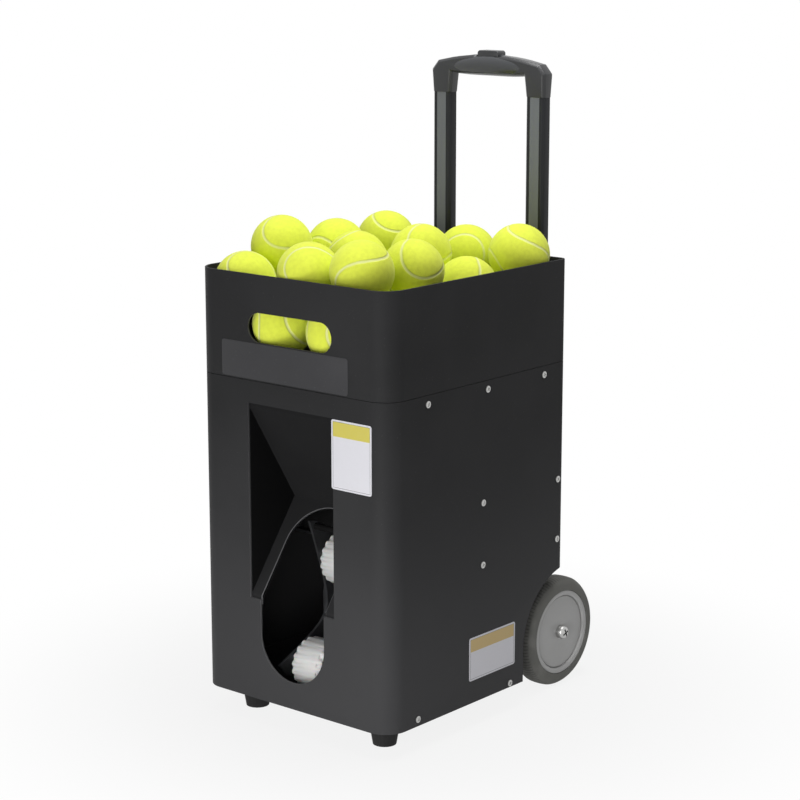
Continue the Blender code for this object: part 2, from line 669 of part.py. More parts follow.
def ball_chute(mat):
    """Tube from the drop hole down and round to the back of the throwing head."""
    bend_z = CHUTE_LOW_CENTRE + CHUTE_BEND
    centre_y = DROP_Y - CHUTE_BEND
    stations = [((0, DROP_Y, DECK_BOTTOM - GAP), 0.0, CHUTE_FLANGE),
                ((0, DROP_Y, DECK_BOTTOM - GAP - CHUTE_FLANGE_PLATE), 0.0, CHUTE_FLANGE),
                ((0, DROP_Y, DECK_BOTTOM - GAP - CHUTE_FLANGE_PLATE), 0.0, 0.0)]
    bends = 7
    for i in range(bends + 1):
        angle = math.radians((90 + CHUTE_END_TILT) * i / bends)
        spot = (0, centre_y + CHUTE_BEND * math.cos(angle), bend_z - CHUTE_BEND * math.sin(angle))
        stations.append((spot, angle, 0.0))
    steps = 16
    sideways = Vector((1, 0, 0))
    bm = bmesh.new()
    rings = []
    for wall in (CHUTE_WALL, 0.0):
        loops = []
        for spot, angle, extra in stations:
            radius = CHUTE_RADIUS + wall + (extra if wall else 0.0)
            across = Vector((0, math.cos(angle), -math.sin(angle)))
            turns = [math.tau * k / steps for k in range(steps)]
            loops.append([bm.verts.new(Vector(spot) + radius * math.cos(t) * sideways
                                       + radius * math.sin(t) * across) for t in turns])
        rings.append(loops)
    outer, inner = rings
    inner = inner[:1] + inner[3:]
    for loops in (outer, inner):
        for first, second in zip(loops, loops[1:]):
            join_loops(bm, first, second)
    join_loops(bm, outer[0], inner[0])
    join_loops(bm, outer[-1], inner[-1])
    bmesh.ops.delete(bm, geom=[v for v in bm.verts if not v.link_faces], context="VERTS")
    return give(finish_mesh(bm, "ball_chute", smooth=True), mat)


def join_loops(bm, first, second):
    count = len(first)
    for k in range(count):
        bm.faces.new((first[k], first[(k + 1) % count], second[(k + 1) % count], second[k]))


def head_outline():
    """Side plate of the throwing head in its local axes, with the V-shaped front edge."""
    steps = 14
    edge = []
    for i in range(steps + 1):
        b = HEAD_TOE + (HEAD_TIP - HEAD_TOE) * i / steps
        edge.append((HEAD_FRONT_REACH + math.hypot(HEAD_FRONT_ROUND, 0.97 * b), b))
    return edge + list(HEAD_BACK)


def head_plate(side, mat):
    name = "head_plate_left" if side < 0 else "head_plate_right"
    low, high = sorted((side * PLATE_INNER, side * PLATE_OUTER))
    plate = prism(name, [head_point(a, b) for a, b in head_outline()], "X", low, high)
    bm = bmesh.new()
    for b in (-WHEEL_SPACING / 2, WHEEL_SPACING / 2):
        add_prism(bm, circle(*head_point(0, b), THROW_SHAFT_RADIUS + RUN, 16), "X", -0.06, 0.06)
    add_prism(bm, circle(PIVOT.y, PIVOT.z, PIVOT_PIN_RADIUS + RUN, 16), "X", -0.06, 0.06)
    holes = finish_mesh(bm, name + "_holes")
    cut(plate, holes)
    return give(plate, mat)


def head_tie(name, a, b, mat):
    """Tie bar between the two side plates, clear of the ball's path."""
    y, z = head_point(a, b)
    reach = PLATE_INNER - GAP
    return give(turned(name, disc(HEAD_TIE_RADIUS, -reach, reach), "X", (0, y, z), 12), mat)


def ball_guide(mat):
    """Sloping floor between the side plates that leads the ball up to the wheels."""
    floor = BALL_DIAMETER / 2 + 0.003
    under = floor + GUIDE_PLATE
    outline = [head_point(a, b) for a, b in ((GUIDE_START, -under), (GUIDE_START, -floor),
                                             (GUIDE_END, -floor), (GUIDE_END, -under))]
    reach = PLATE_INNER - GAP
    return give(prism("ball_guide", outline, "X", -reach, reach), mat)


def throwing_wheel(name, b, mat):
    """Soft wheel with a plain tread and scalloped shoulders."""
    y, z = head_point(0, b)
    half = THROW_WIDTH / 2
    rows = ((half, THROW_RADIUS - 0.0012, 1.0), (half - THROW_SHOULDER * 0.5, THROW_RADIUS, 1.0),
            (half - THROW_SHOULDER * 1.6, THROW_RADIUS, 0.0))
    rows = [(-x, r, k) for x, r, k in rows] + [(x, r, k) for x, r, k in reversed(rows)]
    per_lobe = 4
    steps = THROW_LOBES * per_lobe
    bm = bmesh.new()
    loops = []
    for x, radius, scallop in rows:
        loop = []
        for k in range(steps):
            angle = math.tau * k / steps
            dip = 1 - abs(math.cos(THROW_LOBES * angle / 2))
            r = radius - scallop * THROW_LOBE_DEPTH * dip
            loop.append(bm.verts.new((x, y + r * math.cos(angle), z + r * math.sin(angle))))
        loops.append(loop)
    for first, second in zip(loops, loops[1:]):
        join_loops(bm, first, second)
    bm.faces.new(loops[0])
    bm.faces.new(loops[-1])
    wheel = finish_mesh(bm, name, smooth=True)
    bore = prism(name + "_bore", circle(y, z, THROW_SHAFT_RADIUS + RUN, 16), "X", -half - 0.01, half + 0.01)
    cut(wheel, bore)
    return give(wheel, mat)


def throwing_shaft(name, b, mat):
    y, z = head_point(0, b)
    profile = disc(THROW_SHAFT_RADIUS, -PLATE_OUTER + GAP, PLATE_OUTER + 0.010)
    return give(turned(name, profile, "X", (0, y, z), 16), mat)


def throwing_motor(name, b, mat):
    """Motor on the right-hand side plate: can, end bell and a bore for the wheel's shaft."""
    y, z = head_point(0, b)
    start = PLATE_OUTER + GAP
    end = start + HEAD_MOTOR_LENGTH
    r = HEAD_MOTOR_RADIUS
    bore = THROW_SHAFT_RADIUS + RUN
    profile = [(bore, start), (r * 0.94, start), (r * 0.94, start + 0.006), (r, start + 0.006),
               (r, end - 0.010), (r * 0.92, end - 0.010), (r * 0.92, end), (0, end), (0, start + 0.012),
               (bore, start + 0.012)]
    return give(turned(name, profile, "X", (0, y, z), 16), mat)


def tangent_hull(circles, steps=16):
    """Convex outline round circles of (y, z, radius)."""
    spread = [spot for cy, cz, r in circles for spot in circle(cy, cz, r, steps)]
    points = sorted({(round(y, 7), round(z, 7)) for y, z in spread})

    def half(spots):
        line = []
        for p in spots:
            while len(line) > 1 and ((line[-1][0] - line[-2][0]) * (p[1] - line[-2][1])
                                     - (line[-1][1] - line[-2][1]) * (p[0] - line[-2][0])) <= 1e-12:
                line.pop()
            line.append(p)
        return line[:-1]

    return half(points) + half(points[::-1])


def pivot_bracket(side, mat):
    """Upright on the base tray with a pivot pin; the left one also carries the elevation motor."""
    name = "pivot_bracket_left" if side < 0 else "pivot_bracket_right"
    bottom = TRAY_TOP + GAP
    toe = PIVOT_BRACKET_TOE
    level = bottom + toe
    spots = [(PIVOT.y, PIVOT.z, PIVOT_BOSS_RADIUS), (PIVOT.y - PIVOT_BRACKET_AHEAD, level, toe),
             (PIVOT.y + PIVOT_BRACKET_BEHIND, level, toe)]
    if side < 0:
        spots += [(PINION_AT.y, PINION_AT.z, PINION_BOSS_RADIUS),
                  (PINION_AT.y + PINION_BRACKET_BEHIND, level, toe)]
    outline = [(y, max(z, bottom)) for y, z in tangent_hull(spots)]
    outline = tangent_hull([(y, z, 0.0) for y, z in outline], 1)
    low, high = sorted((side * PIVOT_BRACKET_X, side * (PIVOT_BRACKET_X + PIVOT_BRACKET_PLATE)))
    plate = prism(name, outline, "X", low, high)
    y_low = min(y for y, z in outline if z < bottom + 0.001)
    y_high = max(y for y, z in outline if z < bottom + 0.001)
    low, high = sorted((side * PIVOT_BRACKET_X, side * (PIVOT_BRACKET_X + PIVOT_BRACKET_FOOT)))
    base = boxes(name + "_base", [((low, y_low, bottom), (high, y_high, bottom + HEAD_PLATE))])
    low, high = sorted((side * (PLATE_INNER + GAP), side * (PIVOT_BRACKET_X + PIVOT_BRACKET_PLATE / 2)))
    pin = turned(name + "_pin", disc(PIVOT_PIN_RADIUS, low, high), "X", (0, PIVOT.y, PIVOT.z), 16)
    join(plate, base, pin)
    if side < 0:
        hole = circle(PINION_AT.y, PINION_AT.z, ELEVATION_SHAFT_RADIUS + WORKING_GAP / 2, 16)
        cut(plate, prism(name + "_hole", hole, "X", -0.08, -PLATE_OUTER))
    return give(plate, mat)


def tooth_points(radius, centre_angle):
    """One trapezoid tooth as (radius, angle) pairs, narrower than its pitch share for backlash."""
    pitch = GEAR_MODULE * math.pi
    root = radius - 1.15 * GEAR_MODULE
    tip = radius + 0.85 * GEAR_MODULE
    half_root = pitch * 0.33 / radius
    half_tip = pitch * 0.13 / radius
    return [(root, centre_angle - half_root), (tip, centre_angle - half_tip),
            (tip, centre_angle + half_tip), (root, centre_angle + half_root)]


def sector_gear(mat):
    """Toothed sector on the left side plate, centred on the head's pivot."""
    pitch = 360.0 / SECTOR_TEETH
    lowest = PINION_DIRECTION - (LAUNCH_ANGLE - LAUNCH_LOWEST) - 2.0 * pitch
    highest = PINION_DIRECTION + (LAUNCH_HIGHEST - LAUNCH_ANGLE) + 2.0 * pitch
    count = int((highest - PINION_DIRECTION) // pitch)
    first = -int((PINION_DIRECTION - lowest) // pitch)
    points = []
    for k in range(first, count + 1):
        angle = math.radians(PINION_DIRECTION + k * pitch)
        points += tooth_points(SECTOR_RADIUS, angle)
    outline = [(PIVOT.y + r * math.cos(a), PIVOT.z + r * math.sin(a)) for r, a in points]
    hub = 0.012
    last = points[-1][1] + math.radians(90)
    start = points[0][1] - math.radians(90) + math.tau
    outline += [(PIVOT.y + hub * math.cos(last + (start - last) * i / 8),
                 PIVOT.z + hub * math.sin(last + (start - last) * i / 8)) for i in range(9)]
    inner = -(PLATE_OUTER + GAP)
    gear = prism("sector_gear", outline, "X", inner - GEAR_WIDTH, inner)
    bore = prism("sector_bore", circle(PIVOT.y, PIVOT.z, PIVOT_PIN_RADIUS + RUN, 16), "X", -0.08, 0.08)
    cut(gear, bore)
    return give(gear, mat)


def elevation_pinion(mat):
    """Pinion in mesh with the sector, a tooth gap facing the pivot."""
    points = []
    towards = math.radians(PINION_DIRECTION + 180)
    for k in range(PINION_TEETH):
        points += tooth_points(PINION_RADIUS, towards + math.tau * (k + 0.5) / PINION_TEETH)
    outline = [(PINION_AT.y + r * math.cos(a), PINION_AT.z + r * math.sin(a)) for r, a in points]
    inner = -(PLATE_OUTER + GAP)
    pinion = prism("elevation_pinion", outline, "X", inner - GEAR_WIDTH, inner)
    end = -(PIVOT_BRACKET_X + PIVOT_BRACKET_PLATE + ELEVATION_SHAFT_LENGTH)
    shaft = turned("pinion_stub", disc(ELEVATION_SHAFT_RADIUS, end, inner - GEAR_WIDTH / 2), "X",
                   (0, PINION_AT.y, PINION_AT.z), 16)
    join(pinion, shaft)
    return give(pinion, mat)


def elevation_motor(mat):
    start = -(PIVOT_BRACKET_X + PIVOT_BRACKET_PLATE + GAP)
    end = start - ELEVATION_MOTOR_LENGTH
    r = ELEVATION_MOTOR_RADIUS
    bore = ELEVATION_SHAFT_RADIUS + RUN
    well = start - ELEVATION_SHAFT_LENGTH - 0.001
    profile = [(bore, start), (r, start), (r, start - 0.022), (r * 0.82, start - 0.022), (r * 0.82, end),
               (0, end), (0, well), (bore, well)]
    return give(turned("elevation_gearmotor", profile, "X", (0, PINION_AT.y, PINION_AT.z), 16), mat)


def pack_bracket(side, name, mat):
    """C-shaped bracket on the casing's side, with a leg under the pack and one over it."""
    out = side * (HALF_WIDTH - CASE_WALL - GAP)
    inner = out - side * (PACK_WIDTH + PACK_END_GAP)
    wall = out - side * PACK_PLATE
    y_low = FRONT_Y + PACK_DEPTH - PACK_LENGTH / 2
    y_high = min(y_low + PACK_LENGTH, REAR_Y - REAR_CORNER)
    low = PACK_BOTTOM + PACK_PLATE
    high = PACK_TOP - PACK_PLATE
    spots = [(out, PACK_BOTTOM), (out, PACK_TOP), (inner, PACK_TOP), (inner, high),
             (wall, high), (wall, low), (inner, low), (inner, PACK_BOTTOM)]
    return give(prism(name, spots, "Y", y_low, y_high), mat)


def pack_box(side):
    """Low and high corners of what a side's bracket holds."""
    out = side * (HALF_WIDTH - CASE_WALL - GAP - PACK_SIDE_GAP)
    inner = side * (HALF_WIDTH - CASE_WALL - GAP - PACK_WIDTH)
    x_low, x_high = sorted((inner, out))
    y_mid = FRONT_Y + PACK_DEPTH
    half = PACK_LENGTH / 2 - PACK_END_GAP
    low_z = PACK_BOTTOM + PACK_PLATE + GAP
    high_z = PACK_TOP - PACK_PLATE - GAP
    return (x_low, y_mid - half, low_z), (x_high, y_mid + half, high_z)


def battery(mat):
    """Battery pack with a shallow lid line along its inner side and front."""
    low, high = pack_box(1)
    body = boxes("battery", [(low, high)])
    groove = 0.0015
    line = low[2] + (high[2] - low[2]) * 0.75
    out = 0.01
    bend = [(low[0] - out, low[1] - out), (high[0] + out, low[1] - out), (high[0] + out, low[1] + groove),
            (low[0] + groove, low[1] + groove), (low[0] + groove, high[1] + out),
            (low[0] - out, high[1] + out)]
    cut(body, prism("battery_line", bend, "Z", line, line + groove))
    return give(body, mat)


def controller(mat):
    """Control box with cooling fins along its inner side."""
    low, high = pack_box(-1)
    fin = 0.004
    depth = 0.008
    body = boxes("controller_box", [(low, high)])
    bm = bmesh.new()
    count = 7
    pitch = (high[2] - low[2]) / (count + 0.5)
    for k in range(count):
        z = low[2] + pitch * (k + 0.6)
        add_box(bm, (high[0] - depth, low[1] - 0.01, z), (high[0] + 0.01, high[1] + 0.01, z + pitch - fin))
    cut(body, finish_mesh(bm, "fin_gaps"))
    return give(body, mat)


def control_panel(mat):
    """Plate on the rear panel between the handle's sleeves, with cut-outs for its controls."""
    y = PANEL_REAR_Y + GAP
    half = CONTROL_WIDTH / 2
    tall = CONTROL_HEIGHT / 2
    outline = rounded_rectangle(-half, half, CONTROL_LEVEL - tall, CONTROL_LEVEL + tall, 0.006, 0.006, 3)
    plate = prism("control_panel", outline, "Y", y, y + CONTROL_PLATE)
    bm = bmesh.new()
    add_prism(bm, rocker_outline(GAP), "Y", y - 0.01, y + 0.02)
    for x in (-KNOB_X, KNOB_X):
        add_prism(bm, circle(x, KNOB_LEVEL, KNOB_SHAFT + RUN, 16), "Y", y - 0.01, y + 0.02)
    add_prism(bm, circle(INLET_X, SWITCH_LEVEL, INLET_RADIUS + GAP, 16), "Y", y - 0.01, y + 0.02)
    cut(plate, finish_mesh(bm, "control_holes"))
    return give(plate, mat)


def rocker_outline(grow):
    half_x = SWITCH_WIDTH / 2 + grow
    half_z = SWITCH_HEIGHT / 2 + grow
    return [(SWITCH_X - half_x, SWITCH_LEVEL - half_z), (SWITCH_X + half_x, SWITCH_LEVEL - half_z),
            (SWITCH_X + half_x, SWITCH_LEVEL + half_z), (SWITCH_X - half_x, SWITCH_LEVEL + half_z)]


def switch_bezel(mat):
    """Fixed frame of the power switch, pushed through the control panel."""
    face = PANEL_REAR_Y + GAP + CONTROL_PLATE
    body = prism("switch_bezel", rocker_outline(0), "Y", face - SWITCH_DEPTH, face + 0.0015)
    lip = prism("bezel_lip", rocker_outline(BEZEL_LIP), "Y", face + GAP, face + 0.0015)
    join(body, lip)
    half_x = SWITCH_WIDTH / 2 - BEZEL_WALL
    half_z = SWITCH_HEIGHT / 2 - BEZEL_WALL
    well = boxes("bezel_well", [((SWITCH_X - half_x, face - SWITCH_DEPTH + 0.0015, SWITCH_LEVEL - half_z),
                                 (SWITCH_X + half_x, face + 0.01, SWITCH_LEVEL + half_z))])
    cut(body, well)
    return give(body, mat)


def rocker_axis():
    return (SWITCH_X, PANEL_REAR_Y + GAP + CONTROL_PLATE - 0.0005, SWITCH_LEVEL)


def rocker(mat):
    """Rocker of the power switch: two flats in a shallow V, stored tipped to its off side."""
    _, y, z = rocker_axis()
    half_x = SWITCH_WIDTH / 2 - BEZEL_WALL - 2 * GAP
    half_z = SWITCH_HEIGHT / 2 - BEZEL_WALL - 3 * GAP
    flat = [(-0.0025, -0.7 * half_z), (0.0020, -half_z), (0.0030, -0.95 * half_z), (0.0012, 0),
            (0.0030, 0.95 * half_z), (0.0020, half_z), (-0.0025, 0.7 * half_z)]
    lean = math.radians(-ROCKER_THROW / 2)
    outline = [(y + u * math.cos(lean) - v * math.sin(lean), z + u * math.sin(lean) + v * math.cos(lean))
               for u, v in flat]
    return give(prism("power_rocker", outline, "X", SWITCH_X - half_x, SWITCH_X + half_x), mat)


def knob(name, x, mat):
    """Turned knob with a flat pointer edge and a shaft through the control panel."""
    face = PANEL_REAR_Y + GAP + CONTROL_PLATE + GAP
    r = KNOB_RADIUS
    end = face - KNOB_SHAFT_LENGTH
    profile = [(0, end), (KNOB_SHAFT, end), (KNOB_SHAFT, face), (r, face), (r, face + 0.003),
               (r * 0.8, face + 0.004), (r * 0.72, face + KNOB_HEIGHT), (0, face + KNOB_HEIGHT)]
    body = turned(name, profile, "Y", (x, 0, KNOB_LEVEL), 16)
    pointer = boxes(name + "_pointer", [((x - 0.0008, face + KNOB_HEIGHT - 0.001, KNOB_LEVEL + r * 0.2),
                                         (x + 0.0008, face + KNOB_HEIGHT + 0.01, KNOB_LEVEL + r))])
    cut(body, pointer)
    return give(body, mat)


def charging_inlet(mat):
    """Round charging socket beside the switch."""
    face = PANEL_REAR_Y + GAP + CONTROL_PLATE
    r = INLET_RADIUS
    lip = r + 0.0025
    well = r * 0.55
    profile = [(0, face - 0.012), (r, face - 0.012), (r, face + GAP), (lip, face + GAP), (lip, face + 0.0025),
               (well, face + 0.0025), (well, face - 0.008), (0, face - 0.008)]
    return give(turned("charging_inlet", profile, "Y", (INLET_X, 0, SWITCH_LEVEL), 16), mat)


def axle(mat):
    profile = disc(AXLE_RADIUS, -AXLE_REACH, AXLE_REACH)
    return give(turned("axle", profile, "X", (0, AXLE_Y, AXLE_HEIGHT), 32), mat)


def axle_bracket(side, mat):
    """Block on the rear panel that clasps the axle."""
    name = "axle_bracket_left" if side < 0 else "axle_bracket_right"
    x = side * AXLE_BRACKET_X
    half = AXLE_BRACKET_WIDTH / 2
    base = PANEL_REAR_Y + GAP
    tall = AXLE_BRACKET_HEIGHT / 2
    nose = arc(AXLE_Y, AXLE_HEIGHT, AXLE_RADIUS + 0.006, -60, 60, 6)
    outline = [(base, AXLE_HEIGHT - tall)] + nose + [(base, AXLE_HEIGHT + tall)]
    body = prism(name, outline, "X", x - half, x + half)
    bore = prism(name + "_bore", circle(AXLE_Y, AXLE_HEIGHT, AXLE_RADIUS + RUN, 32), "X", x - 0.02, x + 0.02)
    cut(body, bore)
    return give(body, mat)


def wheel_parts(side, mat_hub, mat_tyre):
    """Hub and tyre of one transport wheel, turned about the axle."""
    word = "left" if side < 0 else "right"
    x0 = WHEEL_INNER_X
    x1 = WHEEL_INNER_X + TYRE_WIDTH
    r = HUB_RADIUS
    d = HUB_DISC_RADIUS
    bore = AXLE_RADIUS + RUN
    disc_face = x1 - HUB_DISH
    dish_face = x0 + 0.010
    groove = disc_face - 0.001
    profile = [(bore, x0), (0.014, x0), (0.016, dish_face), (0.034, dish_face), (0.036, x0 + 0.003),
               (r, x0 + 0.003), (r, x1 - 0.004), (r - 0.0016, x1 - 0.002), (d + 0.0028, x1 - 0.002),
               (d + HUB_GROOVE, groove), (d, groove), (d - 0.0008, disc_face), (bore, disc_face)]
    hub = turned("wheel_hub_" + word, [(a, side * b) for a, b in profile], "X", (0, AXLE_Y, AXLE_HEIGHT), 32)
    t = TYRE_RADIUS
    seat = r + GAP
    tyre_profile = [(seat, x0 + 0.002), (seat + 0.004, x0), (t - 0.006, x0 + 0.001), (t - 0.0012, x0 + 0.005),
                    (t, x0 + 0.010), (t, x1 - 0.010), (t - 0.0012, x1 - 0.005), (t - 0.006, x1 - 0.001),
                    (seat + 0.004, x1), (seat, x1 - 0.002)]
    tyre = turned("tyre_" + word, [(a, side * b) for a, b in tyre_profile], "X", (0, AXLE_Y, AXLE_HEIGHT), 32)
    return give(hub, mat_hub), give(tyre, mat_tyre)


def axle_screw(side, mat):
    """Domed screw in the axle's end that keeps the wheel on."""
    start = AXLE_REACH + GAP
    end = WHEEL_INNER_X + TYRE_WIDTH - HUB_DISH + GAP + AXLE_CAP_HEIGHT
    cap = AXLE_CAP_RADIUS
    profile = [(0, start), (cap, start), (cap, end - 0.003), (cap * 0.7, end - 0.0008), (0, end)]
    name = "axle_screw_left" if side < 0 else "axle_screw_right"
    return give(turned(name, [(r, side * x) for r, x in profile], "X", (0, AXLE_Y, AXLE_HEIGHT), 12), mat)


def tube_outline(side, grow=0.0, chamfer=TUBE_CHAMFER):
    """Plan outline of a side's handle tube, grown all round: a rectangle with cut corners."""
    x, y, c = side * TUBE_X, TUBE_Y, chamfer
    hx = TUBE_WIDTH / 2 + grow
    hy = TUBE_THICK / 2 + grow
    return [(x - hx + c, y - hy), (x + hx - c, y - hy), (x + hx, y - hy + c), (x + hx, y + hy - c),
            (x + hx - c, y + hy), (x - hx + c, y + hy), (x - hx, y + hy - c), (x - hx, y - hy + c)]


def handle_sleeve(side, mat):
    """Fixed outer tube of the trolley handle, closed at the bottom."""
    name = "handle_sleeve_left" if side < 0 else "handle_sleeve_right"
    body = prism(name, tube_outline(side, SLEEVE_WALL + GAP), "Z", SLEEVE_BOTTOM, SLEEVE_TOP)
    bore = prism(name + "_bore", tube_outline(side, GAP), "Z", SLEEVE_BOTTOM + SLEEVE_WALL, SLEEVE_TOP + 0.01)
    cut(body, bore)
    return give(body, mat)


def handle_bracket(name, base_y, level, mat):
    """Moulded bracket across both sleeves, held to the casing's rear."""
    grow = SLEEVE_WALL + GAP
    wall = HANDLE_BRACKET_WALL
    tall = HANDLE_BRACKET_HEIGHT / 2
    rear = TUBE_Y + TUBE_THICK / 2 + grow + wall
    reach = TUBE_WIDTH / 2 + grow + wall
    pads = [((side * TUBE_X - reach, base_y, level - tall), (side * TUBE_X + reach, rear, level + tall))
            for side in (-1, 1)]
    web = ((-TUBE_X, base_y, level - tall), (TUBE_X, base_y + wall, level + tall))
    body = boxes(name, pads[:1])
    join(body, boxes(name + "_pad", pads[1:]), boxes(name + "_web", [web]))
    bm = bmesh.new()
    for side in (-1, 1):
        add_prism(bm, tube_outline(side, grow + GAP), "Z", level - tall - 0.01, level + tall + 0.01)
    cut(body, finish_mesh(bm, name + "_bores"))
    return give(body, mat)


def handle_tube(side, mat):
    """Sliding inner tube, open at its lower end."""
    name = "handle_tube_left" if side < 0 else "handle_tube_right"
    low = SLEEVE_TOP - TUBE_OVERLAP
    high = GRIP_SOCKET_BOTTOM + GRIP_SOCKET_DEPTH
    body = prism(name, tube_outline(side), "Z", low, high)
    bore = prism(name + "_bore", tube_outline(side, -TUBE_WALL, TUBE_CHAMFER - TUBE_WALL), "Z",
                 low - 0.01, high - 2 * TUBE_WALL)
    cut(body, bore)
    return give(body, mat)


def grip_top_at(x):
    """Height of the grip's crowned top at x."""
    return GRIP_TOP - GRIP_CROWN * (x / GRIP_HALF_WIDTH) ** 2


def grip(mat):
    """Crowned grip with cut corners and a socket for each tube, bored for the button."""
    half = GRIP_HALF_WIDTH
    top = [(half * k / 8, grip_top_at(half * k / 8)) for k in range(7, -8, -1)]
    socket = TUBE_X - TUBE_WIDTH / 2 - GRIP_SOCKET_WALL
    leg = TUBE_X + TUBE_WIDTH / 2 + GRIP_SOCKET_WALL - 0.0005
    foot = GRIP_SOCKET_BOTTOM
    under = GRIP_UNDERSIDE
    below = [(-leg, foot), (-socket, foot), (-socket + 0.0015, under), (0, under - 0.002),
             (socket - 0.0015, under), (socket, foot), (leg, foot), (half, under + 0.006)]
    outline = below + top + [(-half, under + 0.006)]
    body = prism("handle_grip", outline, "Y", TUBE_Y - GRIP_THICK / 2, TUBE_Y + GRIP_THICK / 2, smooth=True)
    round_edge = body.modifiers.new("edges", "BEVEL")
    round_edge.width = 0.004
    round_edge.segments = 2
    round_edge.limit_method = "ANGLE"
    round_edge.angle_limit = math.radians(60)
    bm = bmesh.new()
    for side in (-1, 1):
        add_prism(bm, tube_outline(side, GAP), "Z", foot - 0.01, foot + GRIP_SOCKET_DEPTH + GAP)
    sockets = finish_mesh(bm, "grip_sockets")
    half_l = BUTTON_LENGTH / 2 + GAP
    half_w = BUTTON_WIDTH / 2 + GAP
    pocket = boxes("button_pocket", [((-half_l, TUBE_Y - half_w, GRIP_TOP - BUTTON_DEPTH - 0.004),
                                      (half_l, TUBE_Y + half_w, GRIP_TOP + 0.02))])
    cut(body, sockets, pocket)
    return give(body, mat)


def release_button(mat):
    half_l = BUTTON_LENGTH / 2
    half_w = BUTTON_WIDTH / 2
    low = GRIP_TOP - BUTTON_DEPTH
    high = GRIP_TOP + BUTTON_PROUD
    outline = [(-half_l, low), (half_l, low), (half_l, high - 0.002), (half_l - 0.003, high),
               (-half_l + 0.003, high), (-half_l, high - 0.002)]
    return give(prism("release_button", outline, "Y", TUBE_Y - half_w, TUBE_Y + half_w), mat)


def lower_balls():
    spots = []
    for row in range(LOWER_ROWS):
        start = LOWER_FIRST_X - (LOWER_STAGGER if row % 2 else 0.0)
        spots += [Vector((start + LOWER_STEP_X * k, FRONT_Y + LOWER_FIRST_DEPTH + LOWER_STEP_DEPTH * row,
                          CAROUSEL_TOP + BALL_DIAMETER / 2 + 2 * GAP)) for k in range(3)]
    return spots


def upper_balls(below):
    """Drop each ball straight down until it rests on one already placed."""
    reach = BALL_DIAMETER + GAP
    placed = list(below)
    spots = []
    for x, depth in UPPER_PLACES:
        heights = []
        for other in placed:
            apart = math.hypot(x - other.x, FRONT_Y + depth - other.y)
            if apart < reach:
                heights.append(other.z + math.sqrt(reach ** 2 - apart ** 2))
        spot = Vector((x, FRONT_Y + depth, max(heights)))
        placed.append(spot)
        spots.append(spot)
    return spots


def practice_balls(mat):
    """The loose balls as one heap: each faceted ball is grown a little, so that neighbours join."""
    grown = BALL_DIAMETER / 2 * BALL_GROWTH
    lower = lower_balls()
    spots = lower + upper_balls(lower)
    heap = ball_mesh("practice_balls", spots[0], grown)
    join(heap, *[ball_mesh("ball", spot, grown) for spot in spots[1:]])
    room = prism("hopper_room", case_outline(CASE_WALL + GAP), "Z", CAROUSEL_TOP + GAP,
                 RIM_HEIGHT + 3 * BALL_DIAMETER)
    cut(heap, room, operation="INTERSECT")
    return give(heap, mat)


def ball_mesh(name, spot, radius):
    bm = bmesh.new()
    bmesh.ops.create_icosphere(bm, subdivisions=2, radius=radius, matrix=Matrix.Translation(spot))
    return finish_mesh(bm, name, smooth=True)


